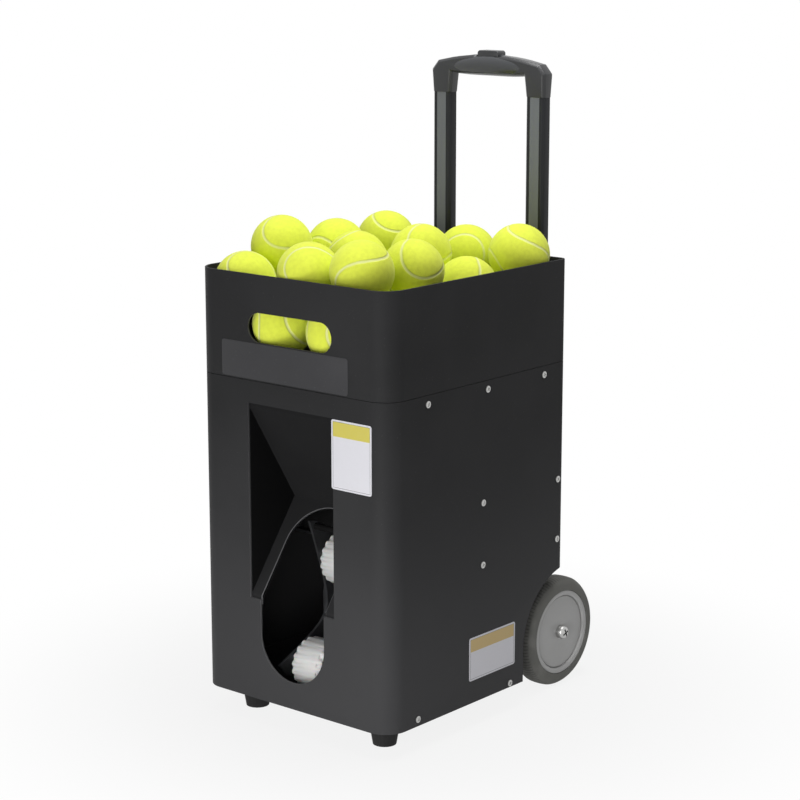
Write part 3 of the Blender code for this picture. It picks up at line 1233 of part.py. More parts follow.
def build():
    clear_scene()
    charcoal = material("charcoal_plastic", (50, 50, 51), 0.5)
    black = material("black_plastic", (28, 28, 29), 0.55)
    grey = material("grey_plastic", (135, 135, 134), 0.45)
    rubber = material("rubber", (62, 62, 58), 0.85)
    steel = material("steel", (170, 170, 168), 0.35, 1.0)
    dark_steel = material("dark_steel", (85, 86, 88), 0.45, 0.8)
    white = material("white_urethane", (214, 214, 210), 0.5)
    handle_grey = material("handle_grey", (84, 85, 87), 0.45)
    cell_blue = material("battery_blue", (45, 70, 120), 0.5)
    felt = material("ball_felt", (214, 235, 60), 0.9)

    casing(charcoal)
    hopper(charcoal)
    rear_panel(charcoal)
    base_tray(charcoal)
    front_recess(black)
    feeder_deck(black)
    hopper_floor(black)
    ball_chute(black)
    for side in (-1, 1):
        wheel_well(side, black)
        foot(side, rubber)
        axle_bracket(side, black)
        axle_screw(side, steel)
        pivot_bracket(side, dark_steel)
        handle_sleeve(side, black)
    axle(steel)
    handle_bracket("handle_bracket_lower", PANEL_REAR_Y + GAP, LOWER_BRACKET_LEVEL, black)
    handle_bracket("handle_bracket_upper", REAR_Y + GAP, UPPER_BRACKET_LEVEL, black)
    elevation_motor(dark_steel)
    pack_bracket(1, "battery_bracket", dark_steel)
    pack_bracket(-1, "controller_bracket", dark_steel)
    battery(cell_blue)
    controller(dark_steel)
    control_panel(black)
    switch_bezel(black)
    charging_inlet(black)
    practice_balls(felt)

    motor, shaft = feed_motor(dark_steel, steel)
    turntable = joint_empty("carousel_axis", (0, CAROUSEL_Y, CAROUSEL_BOTTOM))
    hang_on(turntable, carousel(grey), shaft)

    head = joint_empty("head_pivot", PIVOT)
    hang_on(head, ball_guide(black), sector_gear(dark_steel))
    hang_on(head, head_tie("head_tie_front", *HEAD_TIE_FRONT, dark_steel),
            head_tie("head_tie_rear", *HEAD_TIE_REAR, dark_steel))
    for side in (-1, 1):
        hang_on(head, head_plate(side, dark_steel))
    for word, b in (("lower", -WHEEL_SPACING / 2), ("upper", WHEEL_SPACING / 2)):
        hang_on(head, throwing_motor(word + "_throwing_motor", b, dark_steel))
        spin = joint_empty(word + "_wheel_axis", (0, *head_point(0, b)), head)
        hang_on(spin, throwing_wheel(word + "_throwing_wheel", b, white),
                throwing_shaft(word + "_wheel_shaft", b, steel))
    drive = joint_empty("pinion_axis", PINION_AT)
    hang_on(drive, elevation_pinion(steel))

    for side in (-1, 1):
        spin = joint_empty("wheel_axis_left" if side < 0 else "wheel_axis_right", (0, AXLE_Y, AXLE_HEIGHT))
        hang_on(spin, *wheel_parts(side, grey, rubber))

    slide = joint_empty("handle_slide", (0, TUBE_Y, SLEEVE_TOP))
    hang_on(slide, grip(handle_grey))
    for side in (-1, 1):
        hang_on(slide, handle_tube(side, handle_grey))
    press = joint_empty("button_slide", (0, TUBE_Y, GRIP_TOP), slide)
    hang_on(press, release_button(handle_grey))

    tip = joint_empty("rocker_pivot", rocker_axis())
    hang_on(tip, rocker(black))
    for name, x in (("speed_knob", -KNOB_X), ("interval_knob", KNOB_X)):
        hang_on(joint_empty(name + "_axis", (x, PANEL_REAR_Y, KNOB_LEVEL)), knob(name, x, black))


build()
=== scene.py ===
"""Finished look of a portable padel ball machine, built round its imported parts.

Every new piece is modelled at rest, in metres, in the machine's own frame: X across, -Y the side that the
balls leave, Z = 0 the ground.
"""
import json
import math
from functools import partialmethod

import bpy
from bpy.props import FloatProperty, FloatVectorProperty, IntProperty, PointerProperty
from mathutils import Matrix, Vector

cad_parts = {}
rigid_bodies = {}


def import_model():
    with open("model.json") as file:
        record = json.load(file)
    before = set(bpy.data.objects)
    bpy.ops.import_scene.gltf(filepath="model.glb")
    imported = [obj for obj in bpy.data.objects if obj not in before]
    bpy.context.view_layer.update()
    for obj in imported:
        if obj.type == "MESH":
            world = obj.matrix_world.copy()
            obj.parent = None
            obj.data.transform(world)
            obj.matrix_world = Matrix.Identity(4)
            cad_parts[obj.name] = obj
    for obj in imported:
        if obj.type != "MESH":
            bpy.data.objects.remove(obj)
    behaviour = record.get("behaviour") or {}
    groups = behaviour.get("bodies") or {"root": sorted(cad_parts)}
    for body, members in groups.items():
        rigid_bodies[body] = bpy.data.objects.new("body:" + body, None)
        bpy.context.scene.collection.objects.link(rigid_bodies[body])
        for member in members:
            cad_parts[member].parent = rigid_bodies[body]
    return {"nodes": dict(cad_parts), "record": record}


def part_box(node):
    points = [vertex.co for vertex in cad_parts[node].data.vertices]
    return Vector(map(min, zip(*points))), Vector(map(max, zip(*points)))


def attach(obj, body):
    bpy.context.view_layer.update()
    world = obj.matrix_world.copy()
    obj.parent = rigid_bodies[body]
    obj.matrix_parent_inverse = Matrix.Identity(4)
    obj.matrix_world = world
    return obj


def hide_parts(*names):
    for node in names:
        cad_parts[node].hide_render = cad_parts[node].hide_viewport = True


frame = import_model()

bl_info = {
    "name": "Padel ball machine look",
    "version": (1, 0, 0),
    "blender": (4, 5, 0),
    "location": "3D View > Sidebar > Ball machine",
    "description": "Models and finishes the casing, wheels, handle and balls of a padel ball machine",
    "category": "Object",
}

CASE_LOW, CASE_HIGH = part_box("casing_wrap")
HOPPER_LOW, HOPPER_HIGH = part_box("hopper_shell")
GRIP_LOW, GRIP_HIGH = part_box("handle_grip")
BUTTON_LOW, BUTTON_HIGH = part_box("release_button")
FRONT = CASE_LOW.y
REAR = CASE_HIGH.y
SIDE = CASE_HIGH.x
SEAM = CASE_HIGH.z
GRIP_Y = (GRIP_LOW.y + GRIP_HIGH.y) / 2
ROOT = frame["record"]["behaviour"]["joints"][0]["parent"]
JOINTS = {joint["name"]: joint for joint in frame["record"]["behaviour"]["joints"]}

# The hopper's balls as (x, depth, height) of their middles: those on the floor, then the ones they carry
FLOOR_BALLS = ((-0.0402, 0.0361), (0.0347, 0.0361), (0.0964, 0.0606), (-0.0694, 0.0957), (-0.0027, 0.0909),
               (-0.0136, 0.1563), (0.0501, 0.1380), (-0.0964, 0.1563), (-0.0550, 0.2081), (0.0278, 0.2081),
               (-0.0964, 0.2599), (-0.0136, 0.2599), (0.0692, 0.2599))
UPPER_BALLS = ((-0.0945, 0.0361, 0.4663), (-0.0044, 0.0361, 0.4843), (0.0611, 0.0431, 0.4914),
               (0.0698, 0.1118, 0.4858), (-0.0144, 0.1218, 0.4857), (-0.0964, 0.0943, 0.4981),
               (-0.0731, 0.1559, 0.4903), (0.0217, 0.1838, 0.4897), (0.0816, 0.1866, 0.4604),
               (-0.0758, 0.2414, 0.4898), (0.0255, 0.2570, 0.4816), (0.0964, 0.2573, 0.4886))
BALL_FLOOR = 0.3945

# Clearance between neighbouring pieces, and how far a cutter reaches past what it cuts
GAP = 0.0003
PAST = 0.01

# Screws on each side, as (depth, height) pairs, and on the rear flanges, as heights
SIDE_SCREWS = ((0.061, 0.363), (0.1585, 0.363), (0.256, 0.363), (0.1524, 0.2428), (0.2836, 0.2428),
               (0.1524, 0.1754), (0.2836, 0.1754), (0.0459, 0.0347), (0.2013, 0.0317))
REAR_SCREW_LEVELS = (0.165, 0.245, 0.325)
REAR_SCREW_X = 0.1235
SIDES = ((1, "right"), (-1, "left"))

# Flat pieces on the casing: their ends across the front, or in depth along the side, then their heights
NAMEPLATE = (-0.0946, 0.0796, 0.374, 0.412)
FRONT_LABEL = (0.0574, 0.1105, 0.276, 0.348)
SIDE_LABEL = (0.1305, 0.2093, 0.052, 0.0995)
LABEL_THICK = 0.0003

# Inset and push pairs from a drum's end: the tyre's crown, the hub's groove and its inner face
TYRE_CORE = 0.005
TYRE_STEPS = ((0.0003, 0.0040), (0.0009, 0.0020), (0.0013, 0.0019), (0.0016, 0.0018), (0.0024, 0.0012),
              (0.0030, 0.0006), (0.0030, 0.00025))
HUB_GROOVE_STEPS = ((0.0002, -0.0034), (0.0009, 0), (0.0002, 0.0019))
HUB_BACK_STEPS = ((0.010, 0), (0.003, -0.007), (0.017, 0), (0.003, 0.009))

# A throwing wheel's shoulder as insets and shares of its half width, points round each lobe, and how deep
# they lie by their steps from the dip's middle
SHOULDER_STEPS = ((0, 0.04), (0, 0.04), (0.0003, 0.12), (0.0016, 0.08))
PER_LOBE = 8
DIP_SHARES = (1.0, 0.86, 0.50, 0.14)

# Each lamp's place, target and size; the stage setting of the same name is its power
LAMPS = (("key", (0.35, -1.9, 0.4), (0, -0.15, 0.1), 1.1),
         ("fill", (2.3, -0.4, 0.7), (0, 0, 0.15), 1.6),
         ("top", (0.1, 0.05, 1.45), (0, 0, 0.3), 0.7),
         ("low", (0.34, -0.78, 0.07), (0, -0.1, 0.07), 0.4))


def length(name, description, default):
    return FloatProperty(name=name, description=description, default=default, unit="LENGTH")


def tint(name, description, *default):
    return FloatVectorProperty(name=name, description=description, default=default, subtype="COLOR", size=3,
                               min=0, max=1)


def watts(name, description, default):
    return FloatProperty(name=name, description=description, default=default, subtype="POWER")


class CasingSizes(bpy.types.PropertyGroup):
    """Sizes of the casing and hopper that the CAD boxes don't give."""

    wall: length("Wall", "Sheet thickness", 0.0025)
    front_corner: length("Front corner", "Radius of the front corners", 0.025)
    rear_corner: length("Rear corner", "Radius of the rear corners", 0.008)
    rear_flange: length("Rear flange", "Width of the wrap's flanges at the rear", 0.018)
    edge: length("Edge", "Softening of the sheet's cut edges", 0.0005)
    opening_width: length("Opening width", "Front opening across", 0.118)
    opening_low: length("Opening bottom", "Height of the opening's sill", 0.138)
    opening_high: length("Opening top", "Height of the opening's top edge", 0.3485)
    outlet_top: length("Outlet top", "Height just over the arch of the ball outlet", 0.2325)
    slot_radius: length("Slot radius", "Radius of the outlet slot's round end", 0.04475)
    slot_low: length("Slot bottom", "Lowest point of the outlet slot", 0.0558)
    arch_radius: length("Arch radius", "Radius of the wheel arches", 0.081)
    arch_rise: length("Arch rise", "Height of the wheel arches' middle over the casing's edge", 0.0345)
    hand_width: length("Hand slot width", "Length of the hand slot", 0.115)
    hand_height: length("Hand slot height", "Height of the hand slot", 0.031)
    hand_level: length("Hand slot level", "Height of the hand slot's middle", 0.4287)
    screw_radius: length("Screw radius", "Radius of a casing screw's head", 0.0036)
    screw_height: length("Screw height", "How far a casing screw's head stands out", 0.0012)


class WheelSizes(bpy.types.PropertyGroup):
    """Sizes of the transport wheels and the throwing wheels."""

    tyre_radius: length("Tyre radius", "Radius over the tread", 0.0615)
    tyre_trim: length("Tyre trim", "How much narrower the tyre is than its solid", 0.0015)
    hub_radius: length("Hub radius", "Radius of the hub's rim", 0.047)
    disc_radius: length("Disc radius", "Radius of the hub's flat disc", 0.0402)
    axle_bore: length("Axle bore", "Radius of the hub's bore", 0.0061)
    screw_extra: length("Axle screw extra", "How much longer the axle screw is than its solid", 0.0028)
    lobes: IntProperty(name="Lobes", description="Scallops round each throwing wheel's shoulder", default=18)
    lobe_depth: length("Lobe depth", "Depth of a scallop", 0.0022)
    shaft_bore: length("Shaft bore", "Radius of a throwing wheel's bore", 0.0041)


class HandleSizes(bpy.types.PropertyGroup):
    """Sizes of the trolley handle that the CAD boxes don't give."""

    tube_width: length("Tube width", "Width of each tube", 0.025)
    tube_corner: length("Tube corner", "Bevel along each tube's corners", 0.0030)
    sleeve_wall: length("Sleeve wall", "Thickness of the sleeves that the tubes slide in", 0.0022)
    band: length("Band", "Width of the flat band along a tube", 0.0125)
    # how far the painted highlight on each tube's band reaches
    band_length: length("Band length", "How far down from the grip the band shows paler", 0.2)
    grip_under: length("Grip underside", "Height of the bar's underside", 0.6705)
    arch: length("Arch", "How far the bar falls towards its shoulders", 0.0080)
    swell: length("Swelling", "Length of the soft swelling", 0.122)
    button_share: FloatProperty(name="Button share", description="Button's width against its solid",
                                default=0.72, min=0.1, max=1.0)


class BallSizes(bpy.types.PropertyGroup):
    """Sizes of the practice balls."""

    diameter: length("Diameter", "Diameter over the felt", 0.066)
    seam_width: length("Seam width", "Width of the pale seam", 0.0030)


class MachineColours(bpy.types.PropertyGroup):
    """Base colours, linear."""

    casing: tint("Casing", "Charcoal casing", 0.029, 0.029, 0.030)
    nameplate: tint("Nameplate", "Bare nameplate", 0.046, 0.046, 0.049)
    inner: tint("Inner plastic", "Black inner plastic", 0.017, 0.017, 0.0175)
    handle: tint("Handle", "Dark grey handle", 0.023, 0.0242, 0.0265)
    tyre: tint("Tyre", "Grey rubber", 0.175, 0.175, 0.163)
    hub: tint("Hub", "Grey moulded hub", 0.47, 0.47, 0.465)
    felt: tint("Felt", "Yellow felt", 0.84, 0.93, 0.078)
    seam: tint("Seam", "Pale ball seam", 0.86, 0.91, 0.33)
    urethane: tint("Throwing wheel", "Off-white urethane", 0.80, 0.80, 0.79)
    label: tint("Label", "White label", 0.72, 0.715, 0.76)
    header: tint("Front label header", "Yellow band on the front label", 0.62, 0.54, 0.075)
    side_header: tint("Side label header", "Ochre band on the side label", 0.58, 0.42, 0.16)


class StageSettings(bpy.types.PropertyGroup):
    """Camera and lamps."""

    lens: FloatProperty(name="Lens", description="Focal length", default=99.47, min=1)
    place: FloatVectorProperty(name="Camera place", description="Where the camera stands", subtype="XYZ",
                               size=3, unit="LENGTH", default=(1.5016, -1.79325, 0.8375))
    pitch: FloatProperty(name="Camera pitch", description="Tilt from straight down", subtype="ANGLE",
                         default=math.radians(77.728))
    yaw: FloatProperty(name="Camera yaw", description="Turn about the vertical", subtype="ANGLE",
                       default=math.radians(40.08))
    key: watts("Key lamp", "Power of the key lamp", 12.5)
    fill: watts("Fill lamp", "Power of the fill lamp", 0.6)
    top: watts("Top lamp", "Power of the top lamp", 10)
    low: watts("Low lamp", "Power of the low lamp", 2.7)
    ambient: FloatProperty(name="Ambient", description="Strength of the surrounding light", default=0.2)


# Shader expressions


class Value:
    """A shader socket that takes part in Python arithmetic."""

    def __init__(self, tree, socket):
        self.tree = tree
        self.socket = socket

    def math(self, operation, *others, clamp=False):
        return node(self.tree, "Math", {"operation": operation, "use_clamp": clamp},
                    dict(enumerate((self, *others))))

    def __rsub__(self, other):
        return node(self.tree, "Math", {"operation": "SUBTRACT"}, {0: other, 1: self})

    __add__ = __radd__ = partialmethod(math, "ADD")
    __sub__ = partialmethod(math, "SUBTRACT")
    __mul__ = __rmul__ = partialmethod(math, "MULTIPLY")
    __gt__ = partialmethod(math, "GREATER_THAN")
    __lt__ = partialmethod(math, "LESS_THAN")
    absolute = partialmethod(math, "ABSOLUTE")
    least = partialmethod(math, "MINIMUM")
    root = partialmethod(math, "SQRT")
    sine = partialmethod(math, "SINE")
    turn_from = partialmethod(math, "ARCTAN2")
    clamped = partialmethod(math, "ADD", 0.0, clamp=True)

    def spread(self, low, high, to_low=0.0, to_high=1.0):
        """Smooth step of this value between two levels."""
        return node(self.tree, "MapRange", {"interpolation_type": "SMOOTHSTEP"},
                    {0: self, 1: low, 2: high, 3: to_low, 4: to_high})


def node(tree, kind, settings=None, sockets=None, output=0):
    """Add a node: settings first, then values or links for its sockets. Returns one output."""
    made = tree.nodes.new("ShaderNode" + kind)
    for name, setting in (settings or {}).items():
        setattr(made, name, setting)
    for key, value in (sockets or {}).items():
        if isinstance(value, Value):
            tree.links.new(value.socket, made.inputs[key])
        else:
            made.inputs[key].default_value = value
    return Value(tree, made.outputs[output])


def mix(mask, *ends):
    """Colour mix by a mask between two ends, which are colours or values."""
    low, high = (end if isinstance(end, Value) else (*end, 1.0) for end in ends)
    return node(mask.tree, "Mix", {"data_type": "RGBA"}, {0: mask, 6: low, 7: high}, 2)


def finish_of(name, build, **constants):
    """Make a material: build(place) returns the varying inputs, constants go on their sockets."""
    made = bpy.data.materials.get(name)
    if made:
        return made
    made = bpy.data.materials.new(name)
    made.use_nodes = True
    tree = made.node_tree
    shader = tree.nodes["Principled BSDF"]
    place = node(tree, "TexCoord", output=3)
    for key, value in {**constants, **build(place)}.items():
        socket = shader.inputs[key]
        if isinstance(value, Value):
            tree.links.new(value.socket, socket)
        elif hasattr(socket.default_value, "__len__") and len(value) == 3 and len(socket.default_value) == 4:
            socket.default_value = (*value, 1.0)
        else:
            socket.default_value = value
    return made


def noise(place, scale, detail=2.0, roughness=0.5):
    return node(place.tree, "TexNoise", {},
                {"Vector": place, "Scale": scale, "Detail": detail, "Roughness": roughness})


def bump(height, distance, strength):
    return node(height.tree, "Bump", {},
                {"Height": height, "Distance": distance, "Strength": strength})


def stretched(place, *scale):
    return node(place.tree, "Mapping", {}, {"Vector": place, "Scale": scale})


def parts_of(place):
    """The X, Y and Z of a vector."""
    split = place.tree.nodes.new("ShaderNodeSeparateXYZ")
    place.tree.links.new(place.socket, split.inputs[0])
    return [Value(place.tree, out) for out in split.outputs]


def colours():
    return bpy.context.scene.machine_colours


def shade(colour, factor):
    return tuple(min(1.0, c * factor) for c in colour)


def coated_sheet(name, colour, grain=900.0, rough=0.52, gloss=0.05):
    """Powder-coated or textured sheet: fine grain, faint clouding, a little dust and painted light that
    pales it towards the ground, as light bounced off the floor would.
    """
    def build(place):
        # painted light: a mask that grows towards the ground, standing in for light bounced off the floor
        foot = 1.0 - parts_of(place)[2].spread(0.02, 0.36)
        fine = noise(place, grain, 3.0)
        cloud = noise(place, 7.0, 3.0)
        speck = noise(place, 420.0, 1.0)
        dust = speck.spread(0.70, 0.78)
        base = mix(cloud.spread(0.35, 0.7), shade(colour, 0.9), shade(colour, 1.12))
        base = mix(dust * 0.3, base, shade(colour, 2.2))
        # painted light from the floor bounce, mixed into the base low down
        base = mix(foot * 0.8, base, shade(colour, 2.3))
        return {"Base Color": base, "Roughness": rough - 0.06 + 0.12 * cloud,
                "Normal": bump(fine, 0.00012, 0.55)}

    return finish_of(name, build, **{"Specular IOR Level": gloss})


def mottled(mask, colour, low, high, rough, spread):
    """Base colour between two shades, and a roughness, that both follow a mask."""
    return {"Base Color": mix(mask, shade(colour, low), shade(colour, high)),
            "Roughness": rough + spread * mask}


def moulded_plastic(name, colour, rough=0.5, grain=600.0):
    def build(place):
        fine = noise(place, grain, 2.0)
        cloud = noise(place, 22.0, 2.0)
        return {**mottled(cloud, colour, 0.92, 1.1, rough - 0.05, 0.1), "Normal": bump(fine, 0.00006, 0.5)}

    return finish_of(name, build)


def hub_grey():
    return moulded_plastic("hub_grey", colours().hub, 0.42, 500.0)


def charcoal():
    return coated_sheet("charcoal_sheet", colours().casing)


def turned_steel():
    def build(place):
        lines = noise(stretched(place, 3.0, 1.0, 1.0), 500.0)
        return mottled(lines, (0.50, 0.50, 0.49), 0.85, 1.0, 0.28, 0.14)

    return finish_of("screw_steel", build, Metallic=1.0)


def coated_steel(name, colour):
    return finish_of(name, lambda place: mottled(noise(place, 60.0, 3.0), colour, 0.85, 1.15, 0.36, 0.16),
                     Metallic=0.7)


def grey_rubber(name, colour, axle=None, rib_start=0.0):
    """Matt rubber; a tyre also has fine ribs across its tread, outside a given radius, with painted shade in
    the grooves between them.
    """
    def build(place):
        fine = noise(place, 700.0, 3.0)
        wear = noise(place, 40.0, 4.0)
        base = mix(wear.spread(0.45, 0.75), colour, shade(colour, 1.3))
        height = fine * 0.3
        if axle:
            x, y, z = parts_of(place)
            back, up = y - axle[1], z - axle[2]
            radius = (back * back + up * up).root()
            tread = radius.spread(rib_start, rib_start + 0.0015)
            groove = (back.turn_from(up) * 96.0).sine().spread(0.1, 0.8) * tread
            # painted shade: the grooves between the ribs are painted darker
            base = mix(groove * 0.45, base, shade(colour, 0.4))
            height = height - groove
        return {"Base Color": base, "Roughness": 0.66 + 0.2 * wear, "Normal": bump(height, 0.0004, 0.7)}

    return finish_of(name, build, **{"Specular IOR Level": 0.25})


def cast_urethane():
    def build(place):
        cloud = noise(place, 90.0, 3.0)
        return {**mottled(cloud, colours().urethane, 0.86, 1.0, 0.42, 0.16),
                "Normal": bump(cloud, 0.0002, 0.4)}

    return finish_of("wheel_urethane", build, **{"Subsurface Weight": 0.12, "Subsurface Scale": 0.004})


def ball_felt():
    """Napped felt with a smooth pale seam; the distance to the seam is stored on each ball."""
    tone = colours()
    width = bpy.context.scene.ball_sizes.seam_width / 2

    def build(place):
        nap = noise(place, 900.0, 4.0, 0.65)
        tuft = noise(place, 210.0, 3.0)
        apart = node(place.tree, "Attribute",
                     {"attribute_type": "GEOMETRY", "attribute_name": "seam_distance"},
                     output=2).absolute()
        off_seam = apart.spread(width * 0.35, width * 1.5)
        felt = mix(tuft.spread(0.25, 0.75), shade(tone.felt, 0.95), shade(tone.felt, 1.03))
        felt = mix(nap.spread(0.5, 0.8) * 0.25, felt, shade(tone.felt, 1.12))
        height = (0.5 * nap + 0.5 * tuft) * off_seam + off_seam * 1.2
        return {"Base Color": mix(off_seam, tone.seam, felt), "Roughness": 0.7 + 0.25 * off_seam,
                "Normal": bump(height, 0.0006, 0.7)}

    return finish_of("ball_felt", build,
                     **{"Sheen Weight": 0.3, "Sheen Roughness": 0.5, "Sheen Tint": (0.95, 1.0, 0.5, 1.0)})


def printed_label(name, axis, start, end, low, high, header, tone_of_header):
    """White label with a plain band across its top and a fine border line, both inside a white margin."""
    tone = colours()
    margin = 0.0022
    line = 0.0004

    def build(place):
        across, up = parts_of(place)[axis], parts_of(place)[2]
        beside = ((across - (start + end) / 2).absolute() - (end - start) / 2).absolute()
        above = ((up - (low + high) / 2).absolute() - (high - low) / 2).absolute()
        edge = beside.least(above)
        band = (up > high - (high - low) * header) * (edge > margin)
        border = (edge > margin - line) * (edge < margin)
        grain = noise(place, 300.0)
        base = mix(band, tone.label, tone_of_header)
        base = mix(border * 0.8, base, (0.03, 0.03, 0.035))
        return {"Base Color": mix(grain * 0.12, base, (0.5, 0.5, 0.5)), "Roughness": 0.38 + 0.1 * grain}

    return finish_of(name, build)


# Modelling


def deselect():
    if bpy.context.object and bpy.context.object.mode != "OBJECT":
        leave()
    bpy.ops.object.select_all(action="DESELECT")


def add(name, operator, **settings):
    """Add a primitive, name it and put its place, turn and size into its mesh."""
    deselect()
    operator(**settings)
    obj = bpy.context.object
    obj.name = name
    obj.data.name = name
    bpy.ops.object.transform_apply(location=True, rotation=True, scale=True)
    return obj


def block(name, low, high):
    low, high = Vector(low), Vector(high)
    return add(name, bpy.ops.mesh.primitive_cube_add, size=1, location=(low + high) / 2, scale=high - low)


def column(name, x, y, half, low, high):
    """Upright block between two heights round (x, y), given half its width and depth."""
    return block(name, (x - half[0], y - half[1], low), (x + half[0], y + half[1], high))


TURNS = {"X": (0, math.pi / 2, 0), "Y": (-math.pi / 2, 0, 0), "Z": (0, 0, 0)}


def drum(name, radius, depth, centre, axis, vertices=64):
    return add(name, bpy.ops.mesh.primitive_cylinder_add, vertices=vertices, radius=radius, depth=depth,
               location=centre, rotation=TURNS[axis])


def only(obj):
    deselect()
    obj.select_set(True)
    bpy.context.view_layer.objects.active = obj
    return obj


def pick(obj, faces=None, edges=None, verts=None):
    """Enter edit mode with only the elements that a test accepts selected."""
    only(obj)
    bpy.ops.object.mode_set(mode="EDIT")
    bpy.ops.mesh.select_mode(type="FACE" if faces else "EDGE" if edges else "VERT")
    bpy.ops.mesh.select_all(action="DESELECT")
    leave()
    mesh = obj.data
    if faces:
        rows = [(face, faces(face)) for face in mesh.polygons]
    elif edges:
        rows = [(edge, edges(*[mesh.vertices[i].co for i in edge.vertices])) for edge in mesh.edges]
    else:
        rows = [(vert, verts(vert.co)) for vert in mesh.vertices]
    for item, chosen in rows:
        item.select = bool(chosen)
    bpy.ops.object.mode_set(mode="EDIT")
    if not any(chosen for item, chosen in rows):
        raise RuntimeError(f"nothing to select on {obj.name}")


def leave():
    bpy.ops.object.mode_set(mode="OBJECT")


def edit(obj, operator, faces=None, edges=None, verts=None, **settings):
    """Run one mesh operator on the elements that a test accepts."""
    pick(obj, faces, edges, verts)
    operator(**settings)
    leave()


def apply_modifier(obj, kind, **settings):
    only(obj)
    modifier = obj.modifiers.new(kind.title(), kind)
    for name, value in settings.items():
        setattr(modifier, name, value)
    bpy.ops.object.modifier_apply(modifier=modifier.name)
    return obj


def carve(obj, *cutters, cut=None):
    """Cut with each cutter; where a finish for the cut faces is given, they take it."""
    for cutter in cutters:
        if cut:
            cutter.data.materials.append(cut)
        apply_modifier(obj, "BOOLEAN", operation="DIFFERENCE", object=cutter, solver="EXACT",
                       material_mode="TRANSFER")
        bpy.data.objects.remove(cutter, do_unlink=True)
    return obj


def soften(obj, width, segments=2, angle=30.0, smooth=35.0, slot=-1):
    apply_modifier(obj, "BEVEL", width=width, segments=segments, limit_method="ANGLE",
                   angle_limit=math.radians(angle), use_clamp_overlap=True, harden_normals=False,
                   material=slot)
    return smooth_by(obj, smooth)


def bevel(obj, test, offset, segments=1):
    """Bevel the edges that a test on their two ends accepts."""
    edit(obj, bpy.ops.mesh.bevel, edges=test, offset=offset, segments=segments, affect="EDGES")
    return obj


def upright(a, b):
    return abs(a.z - b.z) > 0.01


def smooth_by(obj, angle=35.0):
    only(obj)
    bpy.ops.object.shade_smooth_by_angle(angle=math.radians(angle))
    return obj


def dress(obj, material, body, replaces=()):
    """Give a piece its finish unless it has some, the body it rides on and the CAD pieces it stands for."""
    if material:
        obj.data.materials.clear()
        obj.data.materials.append(material)
    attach(obj, body)
    if replaces:
        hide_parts(*replaces)
    return obj


def duplicate_of(node_name, name, width, segments=2, finishes=()):
    """A merged copy of a CAD piece with softened edges, which take the second finish if two are given."""
    source = frame["nodes"][node_name]
    only(source)
    bpy.ops.object.duplicate()
    obj = bpy.context.object
    obj.parent = None
    obj.matrix_world = Matrix.Identity(4)
    for key in list(obj.keys()):
        if key.startswith("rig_"):
            del obj[key]
    obj.name = name
    obj.data.name = name
    obj.data.materials.clear()
    for finish in finishes:
        obj.data.materials.append(finish)
    bpy.ops.object.mode_set(mode="EDIT")
    bpy.ops.mesh.select_all(action="SELECT")
    bpy.ops.mesh.remove_doubles(threshold=0.00001)
    bpy.ops.mesh.dissolve_limited(angle_limit=math.radians(1.0))
    bpy.ops.mesh.normals_make_consistent(inside=False)
    leave()
    return soften(obj, width, segments, slot=1 if len(finishes) > 1 else -1)


def step_cap(obj, facing, steps, axis=0):
    """Inset and push the end face of a drum, one (inset, push) pair after another."""
    end = max(v.co[axis] * facing for v in obj.data.vertices)
    pick(obj, faces=lambda f: f.normal[axis] * facing > 0.99 and f.center[axis] * facing > end - 1e-5)
    for inset, push in steps:
        if inset:
            bpy.ops.mesh.inset(thickness=inset, depth=0)
        else:
            bpy.ops.mesh.extrude_region_move(TRANSFORM_OT_translate={"value": (0, 0, 0)})
        if push:
            move = [0.0, 0.0, 0.0]
            move[axis] = push * facing
            bpy.ops.transform.translate(value=move)
    leave()


def step_ends(obj, steps, axis=0):
    """Step both end faces alike."""
    for facing in (1, -1):
        step_cap(obj, facing, steps, axis)


class MACHINE_OT_casing(bpy.types.Operator):
    """Model the wrap of front and sides with its openings"""

    bl_idname = "machine.casing"
    bl_label = "Casing"

    def execute(self, context):
        sizes = context.scene.casing_sizes
        wrap = block("casing", CASE_LOW, CASE_HIGH)
        wrap.data.materials.append(charcoal())
        round_corners(wrap, sizes)
        hollow_tube(wrap, sizes.wall)
        window = SIDE - sizes.rear_flange
        across = 0.2
        deep = PAST + 0.002
        round_z = sizes.slot_low + sizes.slot_radius
        arch_level = CASE_LOW.z + sizes.arch_rise
        axle_y = JOINTS["wheel_left_spin"]["pos_m"][1]
        carve(wrap,
              column("rear_window", 0, REAR, (window, PAST), CASE_LOW.z - PAST, SEAM + PAST),
              column("front_opening", 0, FRONT, (sizes.opening_width / 2, deep), sizes.opening_low,
                     sizes.opening_high),
              column("slot_upper", 0, FRONT, (sizes.slot_radius, deep), round_z, sizes.opening_low + PAST),
              drum("slot_round", sizes.slot_radius, 2 * deep, (0, FRONT, round_z), "Y", 96),
              drum("arch_round", sizes.arch_radius, 2 * across, (0, axle_y, arch_level), "X", 128),
              block("arch_lower", (-across, axle_y - sizes.arch_radius, CASE_LOW.z - PAST),
                    (across, axle_y + 0.1, arch_level)), cut=cut_edge())
        soften(wrap, sizes.edge)
        dress(wrap, None, ROOT, ["casing_wrap"])
        return {"FINISHED"}


def cut_edge():
    """Finish of the sheet's cut edges, painted paler as a highlight where light catches them."""
    return coated_sheet("cut_edge", shade(colours().casing, 2.4), 1100.0, 0.45)


def round_corners(box, sizes, inset=0.0, segments=(12, 6)):
    """Round the upright corners of a box, more at the front than at the rear; inset is how far it lies
    inside the casing's outline."""
    bevel(box, lambda a, b: upright(a, b) and a.y < 0, sizes.front_corner - inset, segments[0])
    rear = max(v.co.y for v in box.data.vertices)
    bevel(box, lambda a, b: upright(a, b) and a.y > rear - 0.0005, sizes.rear_corner - inset, segments[1])


